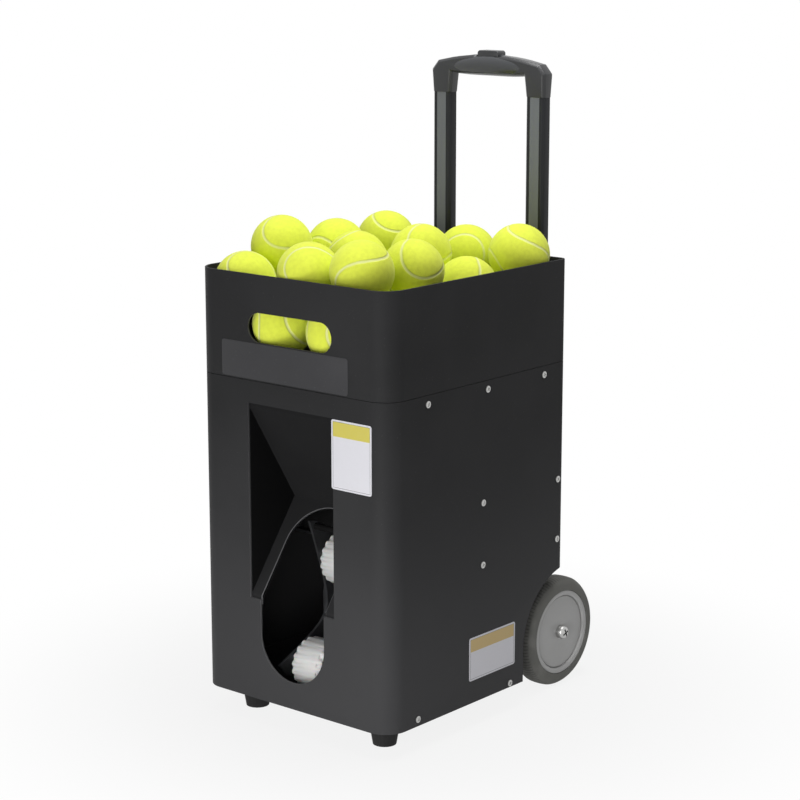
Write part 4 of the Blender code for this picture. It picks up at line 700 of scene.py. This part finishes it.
def hollow_tube(box, wall):
    """Take off a box's ends and give the sides a thickness inwards."""
    edit(box, bpy.ops.mesh.delete, faces=lambda f: abs(f.normal.z) > 0.9, type="FACE")
    apply_modifier(box, "SOLIDIFY", thickness=wall, offset=-1.0, use_even_offset=True)


class MACHINE_OT_hopper(bpy.types.Operator):
    """Model the hopper's walls with the hand slot and the lap inside the casing"""

    bl_idname = "machine.hopper"
    bl_label = "Hopper"

    def execute(self, context):
        sizes = context.scene.casing_sizes
        seam = SEAM + GAP
        walls = block("hopper", (-SIDE, FRONT, seam), (SIDE, REAR, HOPPER_HIGH.z))
        walls.data.materials.append(charcoal())
        round_corners(walls, sizes)
        hollow_tube(walls, sizes.wall)
        end = sizes.hand_height / 2
        mid = sizes.hand_width / 2 - end
        carve(walls,
              column("hand_middle", 0, FRONT, (mid, PAST), sizes.hand_level - end, sizes.hand_level + end),
              *[drum("hand_end", end, 2 * PAST, (x, FRONT, sizes.hand_level), "Y") for x in (-mid, mid)],
              cut=cut_edge())
        soften(walls, sizes.edge * 1.4, 3)
        inset = sizes.wall + GAP
        lap = block("hopper_lap", (-SIDE + inset, FRONT + inset, HOPPER_LOW.z),
                    (SIDE - inset, REAR - inset, seam + 0.002))
        round_corners(lap, sizes, inset, (10, 4))
        hollow_tube(lap, sizes.wall)
        soften(lap, sizes.edge)
        dress(walls, None, ROOT, ["hopper_shell"])
        dress(lap, charcoal(), ROOT)
        return {"FINISHED"}


class MACHINE_OT_recess(bpy.types.Operator):
    """Model the moulded recess behind the front opening, with a painted highlight along the edge of its ball
    outlet
    """

    bl_idname = "machine.recess"
    bl_label = "Front recess"

    def execute(self, context):
        casing = colours().casing
        sizes = context.scene.casing_sizes
        finishes = (coated_sheet("recess_plastic", shade(casing, 0.50), 1100.0, 0.6, 0.03),
                    # paler finish for the bevelled edges: a painted highlight
                    coated_sheet("worn_edge", shade(casing, 2.8), 1100.0, 0.5),
                    # darker finish for the upright cheeks: painted shade
                    coated_sheet("recess_cheek", shade(casing, 0.14), 1100.0, 0.6, 0.02))
        liner = duplicate_of("front_recess", "recess_liner", 0.0008, 3, finishes)
        beside_arch = 0.0015
        reach = sizes.slot_radius + beside_arch
        # only the bevels round the outlet's arch keep the painted highlight
        refinish(liner, 0, lambda f: f.material_index == 1
                 and (abs(f.center.x) > reach or f.center.z > sizes.outlet_top))
        # the upright cheeks take the darker finish, painted shade
        refinish(liner, 2, lambda f: f.material_index == 0 and abs(f.normal.x) > 0.9)
        dress(liner, None, ROOT, ["front_recess"])
        return {"FINISHED"}


def refinish(obj, slot, test):
    """Move the faces that a test accepts to another of the piece's finishes."""
    pick(obj, faces=test)
    obj.active_material_index = slot
    bpy.ops.object.material_slot_assign()
    leave()


class MACHINE_OT_labels(bpy.types.Operator):
    """Add the bare nameplate and the two plain labels"""

    bl_idname = "machine.labels"
    bl_label = "Nameplate and labels"

    def execute(self, context):
        tone = colours()
        plate = soften(flat_piece("nameplate", 0, *NAMEPLATE, 0.003), 0.0001)
        dress(plate, coated_sheet("nameplate_grey", tone.nameplate, 1200.0, 0.4, 0.16), ROOT)
        start, end, *levels = SIDE_LABEL
        beside = (FRONT + start, FRONT + end, *levels)
        for name, axis, place, header, band in (("front_label", 0, FRONT_LABEL, 0.24, tone.header),
                                                ("side_label", 1, beside, 0.33, tone.side_header)):
            print_of = printed_label(name + "_print", axis, *place, header, band)
            dress(flat_piece(name, axis, *place, 0.0025), print_of, ROOT)
        return {"FINISHED"}


def flat_piece(name, axis, start, end, low, high, corner):
    """Thin plate with round corners, along the front (axis 0) or along the right side (axis 1)."""
    if axis == 0:
        piece = block(name, (start, FRONT - LABEL_THICK, low), (end, FRONT + LABEL_THICK, high))
    else:
        piece = block(name, (SIDE - LABEL_THICK, start, low), (SIDE + LABEL_THICK, end, high))
    return bevel(piece, lambda a, b: abs(a[axis] - b[axis]) < 1e-6 and abs(a.z - b.z) < 1e-6, corner, 5)


class MACHINE_OT_screws(bpy.types.Operator):
    """Set the domed screws in the casing's sides and rear flanges"""

    bl_idname = "machine.screws"
    bl_label = "Casing screws"

    def execute(self, context):
        sizes = context.scene.casing_sizes
        pattern = domed_screw("screw_pattern", sizes.screw_radius, sizes.screw_height)
        for side, word in SIDES:
            beside = [(side * SIDE, FRONT + depth, level) for depth, level in SIDE_SCREWS]
            behind = [(side * REAR_SCREW_X, REAR, level) for level in REAR_SCREW_LEVELS]
            for kind, spots, tip, axis, spin in (("side", beside, side, "Y", 1.1),
                                                 ("rear", behind, -1, "X", 0.8)):
                for count, spot in enumerate(spots, 1):
                    matrix = aimed(spot, tip, axis, count * spin)
                    screw = copy_of(pattern, f"{kind}_screw_{word}_{count}", matrix)
                    dress(screw, turned_steel(), ROOT)
        bpy.data.objects.remove(pattern, do_unlink=True)
        return {"FINISHED"}


def aimed(spot, tip, axis, spin):
    """Matrix that spins a screw about itself, tips it a quarter turn about an axis and sets it on a spot."""
    return (Matrix.Translation(spot) @ Matrix.Rotation(tip * math.pi / 2, 4, axis)
            @ Matrix.Rotation(spin, 4, "Z"))


def copy_of(pattern, name, matrix):
    """Copy a pattern with its own mesh, its place baked into that mesh."""
    copy = pattern.copy()
    copy.data = pattern.data.copy()
    copy.name = name
    copy.data.name = name
    bpy.context.scene.collection.objects.link(copy)
    copy.data.transform(matrix)
    return copy


def domed_screw(name, radius, height):
    """Screw head standing up Z from the ground, with a cross recess and a short shank under it."""
    rim = 0.0004
    rise = height - rim
    head = drum(name, radius, rim, (0, 0, rim / 2), "Z", 32)
    step_cap(head, 1, [(0, rise * 0.55), (radius * 0.22, rise * 0.35), (radius * 0.3, rise * 0.1)], axis=2)
    step_cap(head, -1, [(radius * 0.48, 0), (0, 0.006)], axis=2)
    arm = radius * 0.62
    slit = radius * 0.13
    for half in ((arm, slit), (slit, arm)):
        carve(head, column("slit", 0, 0, half, height * 0.3, height + PAST))
    return smooth_by(head, 40.0)


class MACHINE_OT_trolley_wheels(bpy.types.Operator):
    """Model the tyres, hubs and axle screws"""

    bl_idname = "machine.trolley_wheels"
    bl_label = "Transport wheels"

    def execute(self, context):
        sizes = context.scene.wheel_sizes
        tone = colours()
        for side, word in SIDES:
            body = "wheel_" + word
            spot = Vector(JOINTS[f"wheel_{word}_spin"]["pos_m"])
            low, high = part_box("tyre_" + word)
            inner, outer = (low.x, high.x) if side > 0 else (high.x, low.x)
            tyre = round_tyre(f"{word}_tyre", spot, inner, outer, sizes)
            rubber = grey_rubber("tyre_rubber", tone.tyre, spot, sizes.tyre_radius - 0.0035)
            dress(tyre, rubber, body, ["tyre_" + word])
            hub = wheel_hub(f"{word}_hub", spot, side, inner, outer, sizes)
            dress(hub, hub_grey(), body, ["wheel_hub_" + word])
            screw = axle_end(f"{word}_axle_screw", spot, side, word, sizes.screw_extra)
            dress(screw, turned_steel(), ROOT, ["axle_screw_" + word])
        return {"FINISHED"}


def round_tyre(name, spot, inner, outer, sizes):
    """Solid tyre: a narrow drum grown sideways in steps that draw its crowned shoulders."""
    wide = abs(outer - inner) - sizes.tyre_trim
    middle = (inner + outer) / 2 + math.copysign(sizes.tyre_trim / 2, inner - outer)
    tyre = drum(name, sizes.tyre_radius, TYRE_CORE, (middle, spot.y, spot.z), "X", 160)
    share = (wide - TYRE_CORE) / 2 / sum(push for fall, push in TYRE_STEPS)
    step_ends(tyre, [(fall, push * share) for fall, push in TYRE_STEPS])
    carve(tyre, drum("tyre_bore", sizes.hub_radius + GAP, wide * 2, (middle, spot.y, spot.z), "X", 128))
    return smooth_by(tyre, 40.0)


def wheel_hub(name, spot, side, inner, outer, sizes):
    """Hub: a raised rim, a groove and a flat disc on the outer face, a dished inner face."""
    back_gap, front_gap, ridge_fall = 0.003, 0.002, 0.001
    start = inner + side * back_gap
    end = outer - side * front_gap
    groove = sum(inset for inset, push in HUB_GROOVE_STEPS)
    ridge = (sizes.hub_radius - sizes.disc_radius - groove) / 2
    hub = drum(name, sizes.hub_radius, abs(end - start), ((start + end) / 2, spot.y, spot.z), "X", 128)
    step_cap(hub, side, [(ridge, 0), (ridge, -ridge_fall), *HUB_GROOVE_STEPS])
    step_cap(hub, -side, HUB_BACK_STEPS)
    carve(hub, drum("hub_bore", sizes.axle_bore, 0.1, (start, spot.y, spot.z), "X", 48))
    return soften(hub, 0.0005, 3, 25.0, 35.0)


def axle_end(name, spot, side, word, extra):
    """Domed screw with a cross recess on the axle's end."""
    low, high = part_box("axle_screw_" + word)
    screw = domed_screw(name, (high.z - low.z) / 2, high.x - low.x + extra)
    edit(screw, bpy.ops.mesh.delete, verts=lambda v: v.z < -0.0001, type="VERT")
    edit(screw, bpy.ops.mesh.edge_face_add, edges=lambda a, b: abs(a.z) < 1e-6 and abs(b.z) < 1e-6)
    start = low.x if side > 0 else high.x
    screw.data.transform(aimed((start, spot.y, spot.z), side, "Y", 0.4))
    return screw


class MACHINE_OT_throwing_wheels(bpy.types.Operator):
    """Model the two scalloped throwing wheels"""

    bl_idname = "machine.throwing_wheels"
    bl_label = "Throwing wheels"

    def execute(self, context):
        sizes = context.scene.wheel_sizes
        for word in ("upper", "lower"):
            spot = Vector(JOINTS[f"{word}_wheel_spin"]["pos_m"])
            low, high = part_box(f"{word}_throwing_wheel")
            wheel = scalloped_wheel(f"{word}_wheel", spot, low, high, sizes)
            dress(wheel, cast_urethane(), f"{word}_wheel",
                  [f"{word}_throwing_wheel"])
        return {"FINISHED"}


def scalloped_wheel(name, spot, low, high, sizes):
    """Wheel with a plain tread and lobed shoulders, shrunk between the lobes."""
    radius = (high.z - low.z) / 2
    half = high.x
    tread = half * (1 - sum(share for inset, share in SHOULDER_STEPS))
    wheel = drum(name, radius, 2 * tread, spot, "X", sizes.lobes * PER_LOBE)
    step_ends(wheel, [(inset, half * share) for inset, share in SHOULDER_STEPS])
    for near, share in enumerate(DIP_SHARES):
        factor = 1 - sizes.lobe_depth * share / radius
        edit(wheel, bpy.ops.transform.resize,
             verts=lambda v: abs(v.x) > tread * 1.05 and from_dip(v, spot, sizes.lobes) == near,
             value=(1, factor, factor), center_override=spot)
    carve(wheel, drum("wheel_bore", sizes.shaft_bore, 0.1, spot, "X", 48))
    step_ends(wheel, [(0.006, 0), (0.001, -0.0015)])
    return smooth_by(wheel, 50.0)


def from_dip(vert, spot, lobes):
    """How many steps round a point is from the middle of the nearest dip between lobes."""
    turn = math.atan2(vert.y - spot.y, vert.z - spot.z) / math.tau * lobes * PER_LOBE
    return abs(round(turn) % PER_LOBE - PER_LOBE // 2)


class MACHINE_OT_handle(bpy.types.Operator):
    """Model the trolley handle's tubes, sleeves, grip and release button"""

    bl_idname = "machine.handle"
    bl_label = "Trolley handle"

    def execute(self, context):
        sizes = context.scene.handle_sizes
        tone = colours()
        low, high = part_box("handle_tube_right")
        middle = (low + high) / 2
        metal = handle_metal(tone.handle, middle, high.y - low.y, sizes)
        moulding = moulded_plastic("grip_plastic", shade(tone.handle, 0.9), 0.3, 700.0)
        for word in ("left", "right"):
            tube = fluted_tube(f"{word}_tube", word, high.y - low.y, sizes)
            dress(tube, metal, "handle", ["handle_tube_" + word])
            sleeve = tube_sleeve(f"{word}_sleeve", word, sizes)
            dress(sleeve, metal, ROOT, ["handle_sleeve_" + word])
        frame_part = grip_frame("grip", abs(middle.x), high.y - low.y, sizes)
        dress(frame_part, moulding, "handle", ["handle_grip"])
        soft = moulded_plastic("soft_grip", shade(tone.handle, 1.9), 0.22, 1200.0)
        dress(grip_swell("grip_swell", sizes), soft, "handle")
        button = duplicate_of("release_button", "button", 0.0010, 3)
        edit(button, bpy.ops.transform.resize, verts=lambda v: True, value=(sizes.button_share, 1, 1),
             center_override=(0, middle.y, BUTTON_LOW.z))
        dress(button, moulding, "button", ["release_button"])
        return {"FINISHED"}


def handle_metal(colour, middle, thick, sizes):
    """Streaked grey metal, with a painted highlight on the flat band along each tube."""
    def build(place):
        streak = noise(stretched(place, 1.0, 1.0, 0.06), 420.0)
        x, y, z = parts_of(place)
        across = (x.absolute() - abs(middle.x)).absolute() < sizes.band / 2
        face = (y - middle.y).absolute() > thick / 2 - 0.0007
        # painted highlight: the flat band down the upper part of each tube is painted far paler than the
        # rest
        band = across * face * (z > GRIP_LOW.z - sizes.band_length)
        base = mix(streak, shade(colour, 0.9), shade(colour, 1.15))
        return {"Base Color": mix(band, base, shade(colour, 8.0)), "Roughness": 0.30 + 0.12 * streak}

    return finish_of("handle_metal", build, Metallic=0.1, **{"Specular IOR Level": 0.15})


def fluted_tube(name, word, thick, sizes):
    """Tube with bevelled corners and a shallow flat band down its front and back."""
    low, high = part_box("handle_tube_" + word)
    middle = (low + high) / 2
    tube = column(name, middle.x, middle.y, (sizes.tube_width / 2, thick / 2), low.z, high.z)
    bevel(tube, upright, sizes.tube_corner)
    step_ends(tube, [((sizes.tube_width - 2 * sizes.tube_corner - sizes.band) / 2, -0.0004)], axis=1)
    return soften(tube, 0.0004, 2, 20.0, 40.0)


def tube_sleeve(name, word, sizes):
    """Open sleeve that the tube slides in."""
    low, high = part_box("handle_sleeve_" + word)
    middle = (low + high) / 2
    slack, rounder = 0.0004, 0.0012
    wall = sizes.sleeve_wall
    inside = (sizes.tube_width / 2 + slack, high.y - middle.y - wall)
    outside = (inside[0] + wall, inside[1] + wall)
    sleeve = column(name, middle.x, middle.y, outside, low.z, high.z)
    bore = column("sleeve_bore", middle.x, middle.y, inside, low.z - PAST, high.z + PAST)
    bevel(sleeve, upright, sizes.tube_corner + rounder)
    bevel(bore, upright, sizes.tube_corner)
    carve(sleeve, bore)
    return soften(sleeve, 0.0005, 2, 20.0, 40.0)


def grip_frame(name, tube_x, thick, sizes):
    """Faceted frame: a grid bowed along its top, its ends drawn down into legs that taper to the tubes.

    Each column of the grid is moved aside once it has its shape, so that no later test picks it again.
    """
    aside = 0.05
    under_bow, below_swell = 0.0015, 0.0008
    end_drop, end_width = 0.0078, 0.0085
    foot_lip, foot_taper, foot_ridge = 0.0004, 0.0018, 0.003
    bar_extra, foot_extra = 0.0034, 0.0006
    half = GRIP_HIGH.x
    top = GRIP_HIGH.z - below_swell
    shoulder = half - end_width
    reach = sizes.tube_width / 2 + foot_lip
    inner = tube_x - reach - foot_taper
    foot = (tube_x - reach, tube_x + foot_ridge, tube_x + reach)
    spots = [-half, -shoulder] + [inner * (k / 5 - 1) for k in range(11)] + [shoulder, half]
    columns = len(spots) - 1
    grip = add(name, bpy.ops.mesh.primitive_grid_add, x_subdivisions=columns, y_subdivisions=1, size=1,
               location=(0, 0, 0), rotation=(math.pi / 2, 0, 0))
    step = 1 / columns
    for column, x in enumerate(spots):
        old = column * step - 0.5
        crown = top - sizes.arch * (x / shoulder) ** 2 - (end_drop if abs(x) == half else 0)
        under = sizes.grip_under + under_bow * min(1.0, (x / inner) ** 2)
        for level, target in ((0.5, crown), (-0.5, under)):
            edit(grip, bpy.ops.transform.translate, value=(x - old, aside, target - level),
                 verts=lambda v: abs(v.x - old) < step / 4 and abs(v.z - level) < 0.1 and abs(v.y) < 1e-6)
    drop = GRIP_LOW.z - sizes.grip_under - under_bow
    for side in (-1, 1):
        edit(grip, bpy.ops.mesh.extrude_region_move, TRANSFORM_OT_translate={"value": (0, 0, drop)},
             edges=lambda a, b: min(a.x * side, b.x * side) > inner - 1e-4
             and max(a.z, b.z) < sizes.grip_under + 0.002)
        for x, end in zip((inner, shoulder, half), foot):
            edit(grip, bpy.ops.transform.translate, value=(side * (end - x), 0, 0),
                 verts=lambda v: abs(v.x - side * x) < 1e-4 and v.z < GRIP_LOW.z + 0.001)
    deep = thick + bar_extra
    pick(grip, faces=lambda f: True)
    bpy.ops.mesh.extrude_region_move(TRANSFORM_OT_translate={"value": (0, deep, 0)})
    bpy.ops.mesh.select_all(action="SELECT")
    bpy.ops.transform.translate(value=(0, GRIP_Y - deep / 2 - aside, 0))
    bpy.ops.mesh.remove_doubles(threshold=0.00001)
    bpy.ops.mesh.normals_make_consistent(inside=False)
    bpy.ops.mesh.dissolve_limited(angle_limit=math.radians(0.5))
    leave()
    edit(grip, bpy.ops.transform.resize, verts=lambda v: v.z < GRIP_LOW.z + 0.001,
         value=(1, (thick + foot_extra) / deep, 1), center_override=(0, GRIP_Y, GRIP_LOW.z))
    bevel(grip, lambda a, b: (a.y - GRIP_Y) * (b.y - GRIP_Y) > 0 and max(a.z, b.z) > GRIP_LOW.z + 0.001,
          sizes.tube_corner)
    soften(grip, 0.0007, 3, 25.0, 35.0)
    return carve(grip, button_pocket(sizes))


def button_pocket(sizes):
    """Cutter for the pocket in the grip that the button drops into."""
    half = (BUTTON_HIGH.x * sizes.button_share + GAP, (BUTTON_HIGH.y - BUTTON_LOW.y) / 2 + GAP)
    return column("button_pocket", 0, GRIP_Y, half, BUTTON_LOW.z - 0.004, GRIP_HIGH.z + 2 * PAST)


def grip_swell(name, sizes):
    """Soft swelling round the middle of the bar, fullest at its centre and bowed with the bar."""
    rings = 25
    tall = (GRIP_HIGH.z - sizes.grip_under) / 2 + 0.0006
    deep = (GRIP_HIGH.y - GRIP_LOW.y) / 2
    level = GRIP_HIGH.z - tall
    reach = sizes.swell / 2
    swell = drum(name, 1.0, 2 * reach, (0, GRIP_Y, level), "X", 40)
    edit(swell, bpy.ops.mesh.subdivide, edges=lambda a, b: abs(a.x - b.x) > reach, number_cuts=rings - 2)
    step = 2 * reach / (rings - 1)
    for count in range(rings):
        x = (count - (rings - 1) / 2) * step
        full = max(0.18, math.sqrt(max(0.0, 1 - abs(x / reach) ** 2.4)))
        pick(swell, verts=lambda v: abs(v.x - x) < step / 4)
        bpy.ops.transform.resize(value=(1, deep * full, tall * full), center_override=(0, GRIP_Y, level))
        bpy.ops.transform.translate(value=(0, 0, -sizes.arch * 0.55 * (x / reach) ** 2))
        leave()
    carve(swell, button_pocket(sizes))
    return smooth_by(swell, 40.0)


class MACHINE_OT_balls(bpy.types.Operator):
    """Fill the hopper with felted balls"""

    bl_idname = "machine.balls"
    bl_label = "Practice balls"

    def execute(self, context):
        radius = context.scene.ball_sizes.diameter / 2
        pattern = seamed_ball("ball_pattern", radius)
        felt = ball_felt()
        spots = ball_places(2 * radius)
        for count, spot in enumerate(spots, 1):
            turn = (Matrix.Rotation(count * 2.4, 4, "Z") @ Matrix.Rotation(count * 1.7 + 0.6, 4, "X")
                    @ Matrix.Rotation(count * 0.9, 4, "Y"))
            ball = copy_of(pattern, f"ball_{count:02d}", Matrix.Translation(spot) @ turn)
            dress(ball, felt, ROOT, ["practice_balls"] if count == 1 else ())
        bpy.data.objects.remove(pattern, do_unlink=True)
        return {"FINISHED"}


def ball_places(diameter):
    """Middles of the balls on the floor and of those above them."""
    low = BALL_FLOOR + diameter / 2 + 2 * GAP
    return ([Vector((x, FRONT + depth, low)) for x, depth in FLOOR_BALLS]
            + [Vector((x, FRONT + depth, high)) for x, depth, high in UPPER_BALLS])


def seamed_ball(name, radius):
    """Round ball at the origin that stores each point's distance from the seam."""
    ball = add(name, bpy.ops.mesh.primitive_uv_sphere_add, segments=56, ring_count=28, radius=radius,
               location=(0, 0, 0))
    line = [seam_point(math.tau * k / 240) for k in range(240)]
    store = ball.data.attributes.new("seam_distance", "FLOAT", "POINT")
    for vert in ball.data.vertices:
        out = vert.co.normalized()
        near = min(range(len(line)), key=lambda k: (line[k] - out).length_squared)
        ahead = line[(near + 1) % len(line)] - line[near - 1]
        side = 1.0 if line[near].cross(ahead).dot(out - line[near]) > 0 else -1.0
        store.data[vert.index].value = side * (line[near] - out).length * radius
    return smooth_by(ball, 80.0)


def seam_point(turn):
    """Unit point of the closed seam at a turn."""
    wide, narrow = 0.72, 0.28
    return Vector((wide * math.cos(turn) + narrow * math.cos(3 * turn),
                   wide * math.sin(turn) - narrow * math.sin(3 * turn),
                   2 * math.sqrt(wide * narrow) * math.sin(2 * turn))).normalized()


class MACHINE_OT_finishes(bpy.types.Operator):
    """Give every other piece its finish"""

    bl_idname = "machine.finishes"
    bl_label = "Other finishes"

    def execute(self, context):
        tone = colours()
        black = moulded_plastic("black_moulding", tone.inner, 0.5)
        sheet = charcoal()
        steel = turned_steel()
        coated = coated_steel("zinc_steel", (0.10, 0.102, 0.108))
        # painted shade: the head ties are made near-black so that they sink into the dark throat
        dark = coated_sheet("tie_black", (0.006, 0.006, 0.006), 900.0, 0.6)
        motor = coated_steel("motor_can", (0.05, 0.051, 0.055))
        grey = hub_grey()
        rubber = grey_rubber("foot_rubber", (0.016, 0.016, 0.016))
        blue = moulded_plastic("battery_blue", (0.026, 0.061, 0.188), 0.35)
        groups = (
            (black, "feeder_deck hopper_floor ball_chute wheel_well_left wheel_well_right axle_bracket_left "
                    "axle_bracket_right handle_bracket_lower handle_bracket_upper controller_box "
                    "control_panel switch_bezel charging_inlet ball_guide power_rocker speed_knob "
                    "interval_knob"),
            (sheet, "rear_panel base_tray"),
            (steel, "axle carousel_shaft upper_wheel_shaft lower_wheel_shaft elevation_pinion"),
            (dark, "head_tie_front head_tie_rear"),
            (coated, "pivot_bracket_left pivot_bracket_right battery_bracket controller_bracket "
                     "head_plate_left head_plate_right sector_gear"),
            (motor, "elevation_gearmotor carousel_gearmotor upper_throwing_motor lower_throwing_motor"),
            (grey, "ball_carousel"),
            (rubber, "foot_left foot_right"),
            (blue, "battery"),
        )
        for material, names in groups:
            for name in names.split():
                paint(frame["nodes"][name], material)
        return {"FINISHED"}


def paint(obj, material):
    if not obj.material_slots:
        obj.data.materials.append(material)
    for place in obj.material_slots:
        place.material = material


class MACHINE_OT_stage(bpy.types.Operator):
    """Add the floor, lamps and camera"""

    bl_idname = "machine.stage"
    bl_label = "Stage"

    def execute(self, context):
        settings = context.scene.stage_settings
        floor = add("floor", bpy.ops.mesh.primitive_plane_add, size=12, location=(0, 0, -0.0002))
        floor.data.materials.append(white_floor())
        for word, place, target, size in LAMPS:
            lamp(word + "_lamp", place, target, size, getattr(settings, word))
        surround(context.scene, settings.ambient)
        bpy.ops.object.camera_add(location=settings.place, rotation=(settings.pitch, 0, settings.yaw))
        camera = bpy.context.object
        camera.name = "photo_camera"
        camera.data.lens = settings.lens
        camera.data.sensor_width = 36.0
        context.scene.camera = camera
        context.scene.view_settings.view_transform = "Standard"
        return {"FINISHED"}


def white_floor():
    """Matt white floor that keeps a soft shadow near the machine and is plain white further out."""
    made = finish_of("floor_white", lambda place: {"Roughness": 0.7 + 0.1 * noise(place, 3.0)},
                     **{"Base Color": (0.6, 0.6, 0.6)})
    tree = made.node_tree
    place = node(tree, "TexCoord", output=3)
    out = node(tree, "VectorMath", {"operation": "LENGTH"}, {0: place}, 1)
    share = out.spread(0.2, 0.6, 0.86, 1.0) * straight_rays(tree)
    plain = node(tree, "Emission", {}, {"Color": (1, 1, 1, 1), "Strength": 1.0})
    lit = Value(tree, tree.nodes["Principled BSDF"].outputs[0])
    both = node(tree, "MixShader", {}, {0: share, 1: lit, 2: plain})
    tree.links.new(both.socket, tree.nodes["Material Output"].inputs["Surface"])
    return made


def straight_rays(tree):
    """1 for what the camera sees, straight on, in a gloss or through glass, otherwise 0."""
    path = tree.nodes.new("ShaderNodeLightPath")
    seen, gloss, through = (Value(tree, path.outputs[f"Is {kind} Ray"])
                            for kind in ("Camera", "Glossy", "Transmission"))
    return (seen + gloss + through).clamped()


def lamp(name, place, target, size, power):
    bpy.ops.object.light_add(type="AREA", location=place)
    light = bpy.context.object
    light.name = name
    light.rotation_euler = (Vector(target) - Vector(place)).to_track_quat("-Z", "Y").to_euler()
    light.data.size = size
    light.data.energy = power
    light.visible_camera = False


def surround(scene, strength):
    """White to the camera, softer light to everything else."""
    world = bpy.data.worlds.new("surround")
    scene.world = world
    world.use_nodes = True
    tree = world.node_tree
    backdrop = tree.nodes["Background"]
    backdrop.inputs["Color"].default_value = (1, 1, 1, 1)
    power = straight_rays(tree) * (1.0 - strength) + strength
    tree.links.new(power.socket, backdrop.inputs["Strength"])


class MACHINE_PT_panel(bpy.types.Panel):
    """Steps that build the machine's look"""

    bl_label = "Ball machine"
    bl_idname = "MACHINE_PT_panel"
    bl_space_type = "VIEW_3D"
    bl_region_type = "UI"
    bl_category = "Ball machine"

    def draw(self, context):
        layout = self.layout
        for operator in OPERATORS:
            layout.operator(operator.bl_idname)
        for group in GROUPS:
            settings = getattr(context.scene, group)
            box = layout.box()
            for name in settings.bl_rna.properties.keys():
                if name not in ("rna_type", "name"):
                    box.prop(settings, name)


GROUPS = {"casing_sizes": CasingSizes, "wheel_sizes": WheelSizes, "handle_sizes": HandleSizes,
          "ball_sizes": BallSizes, "machine_colours": MachineColours, "stage_settings": StageSettings}
OPERATORS = (MACHINE_OT_casing, MACHINE_OT_hopper, MACHINE_OT_recess, MACHINE_OT_labels, MACHINE_OT_screws,
             MACHINE_OT_trolley_wheels, MACHINE_OT_throwing_wheels, MACHINE_OT_handle, MACHINE_OT_balls,
             MACHINE_OT_finishes, MACHINE_OT_stage)


def register():
    for made in (*GROUPS.values(), *OPERATORS, MACHINE_PT_panel):
        bpy.utils.register_class(made)
    for name, group in GROUPS.items():
        setattr(bpy.types.Scene, name, PointerProperty(type=group))


def unregister():
    for name in GROUPS:
        delattr(bpy.types.Scene, name)
    for made in (MACHINE_PT_panel, *reversed(OPERATORS), *reversed(list(GROUPS.values()))):
        bpy.utils.unregister_class(made)


def main():
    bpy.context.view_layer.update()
    register()
    for operator in OPERATORS:
        group, name = operator.bl_idname.split(".")
        getattr(getattr(bpy.ops, group), name)()


if __name__ == "__main__":
    main()
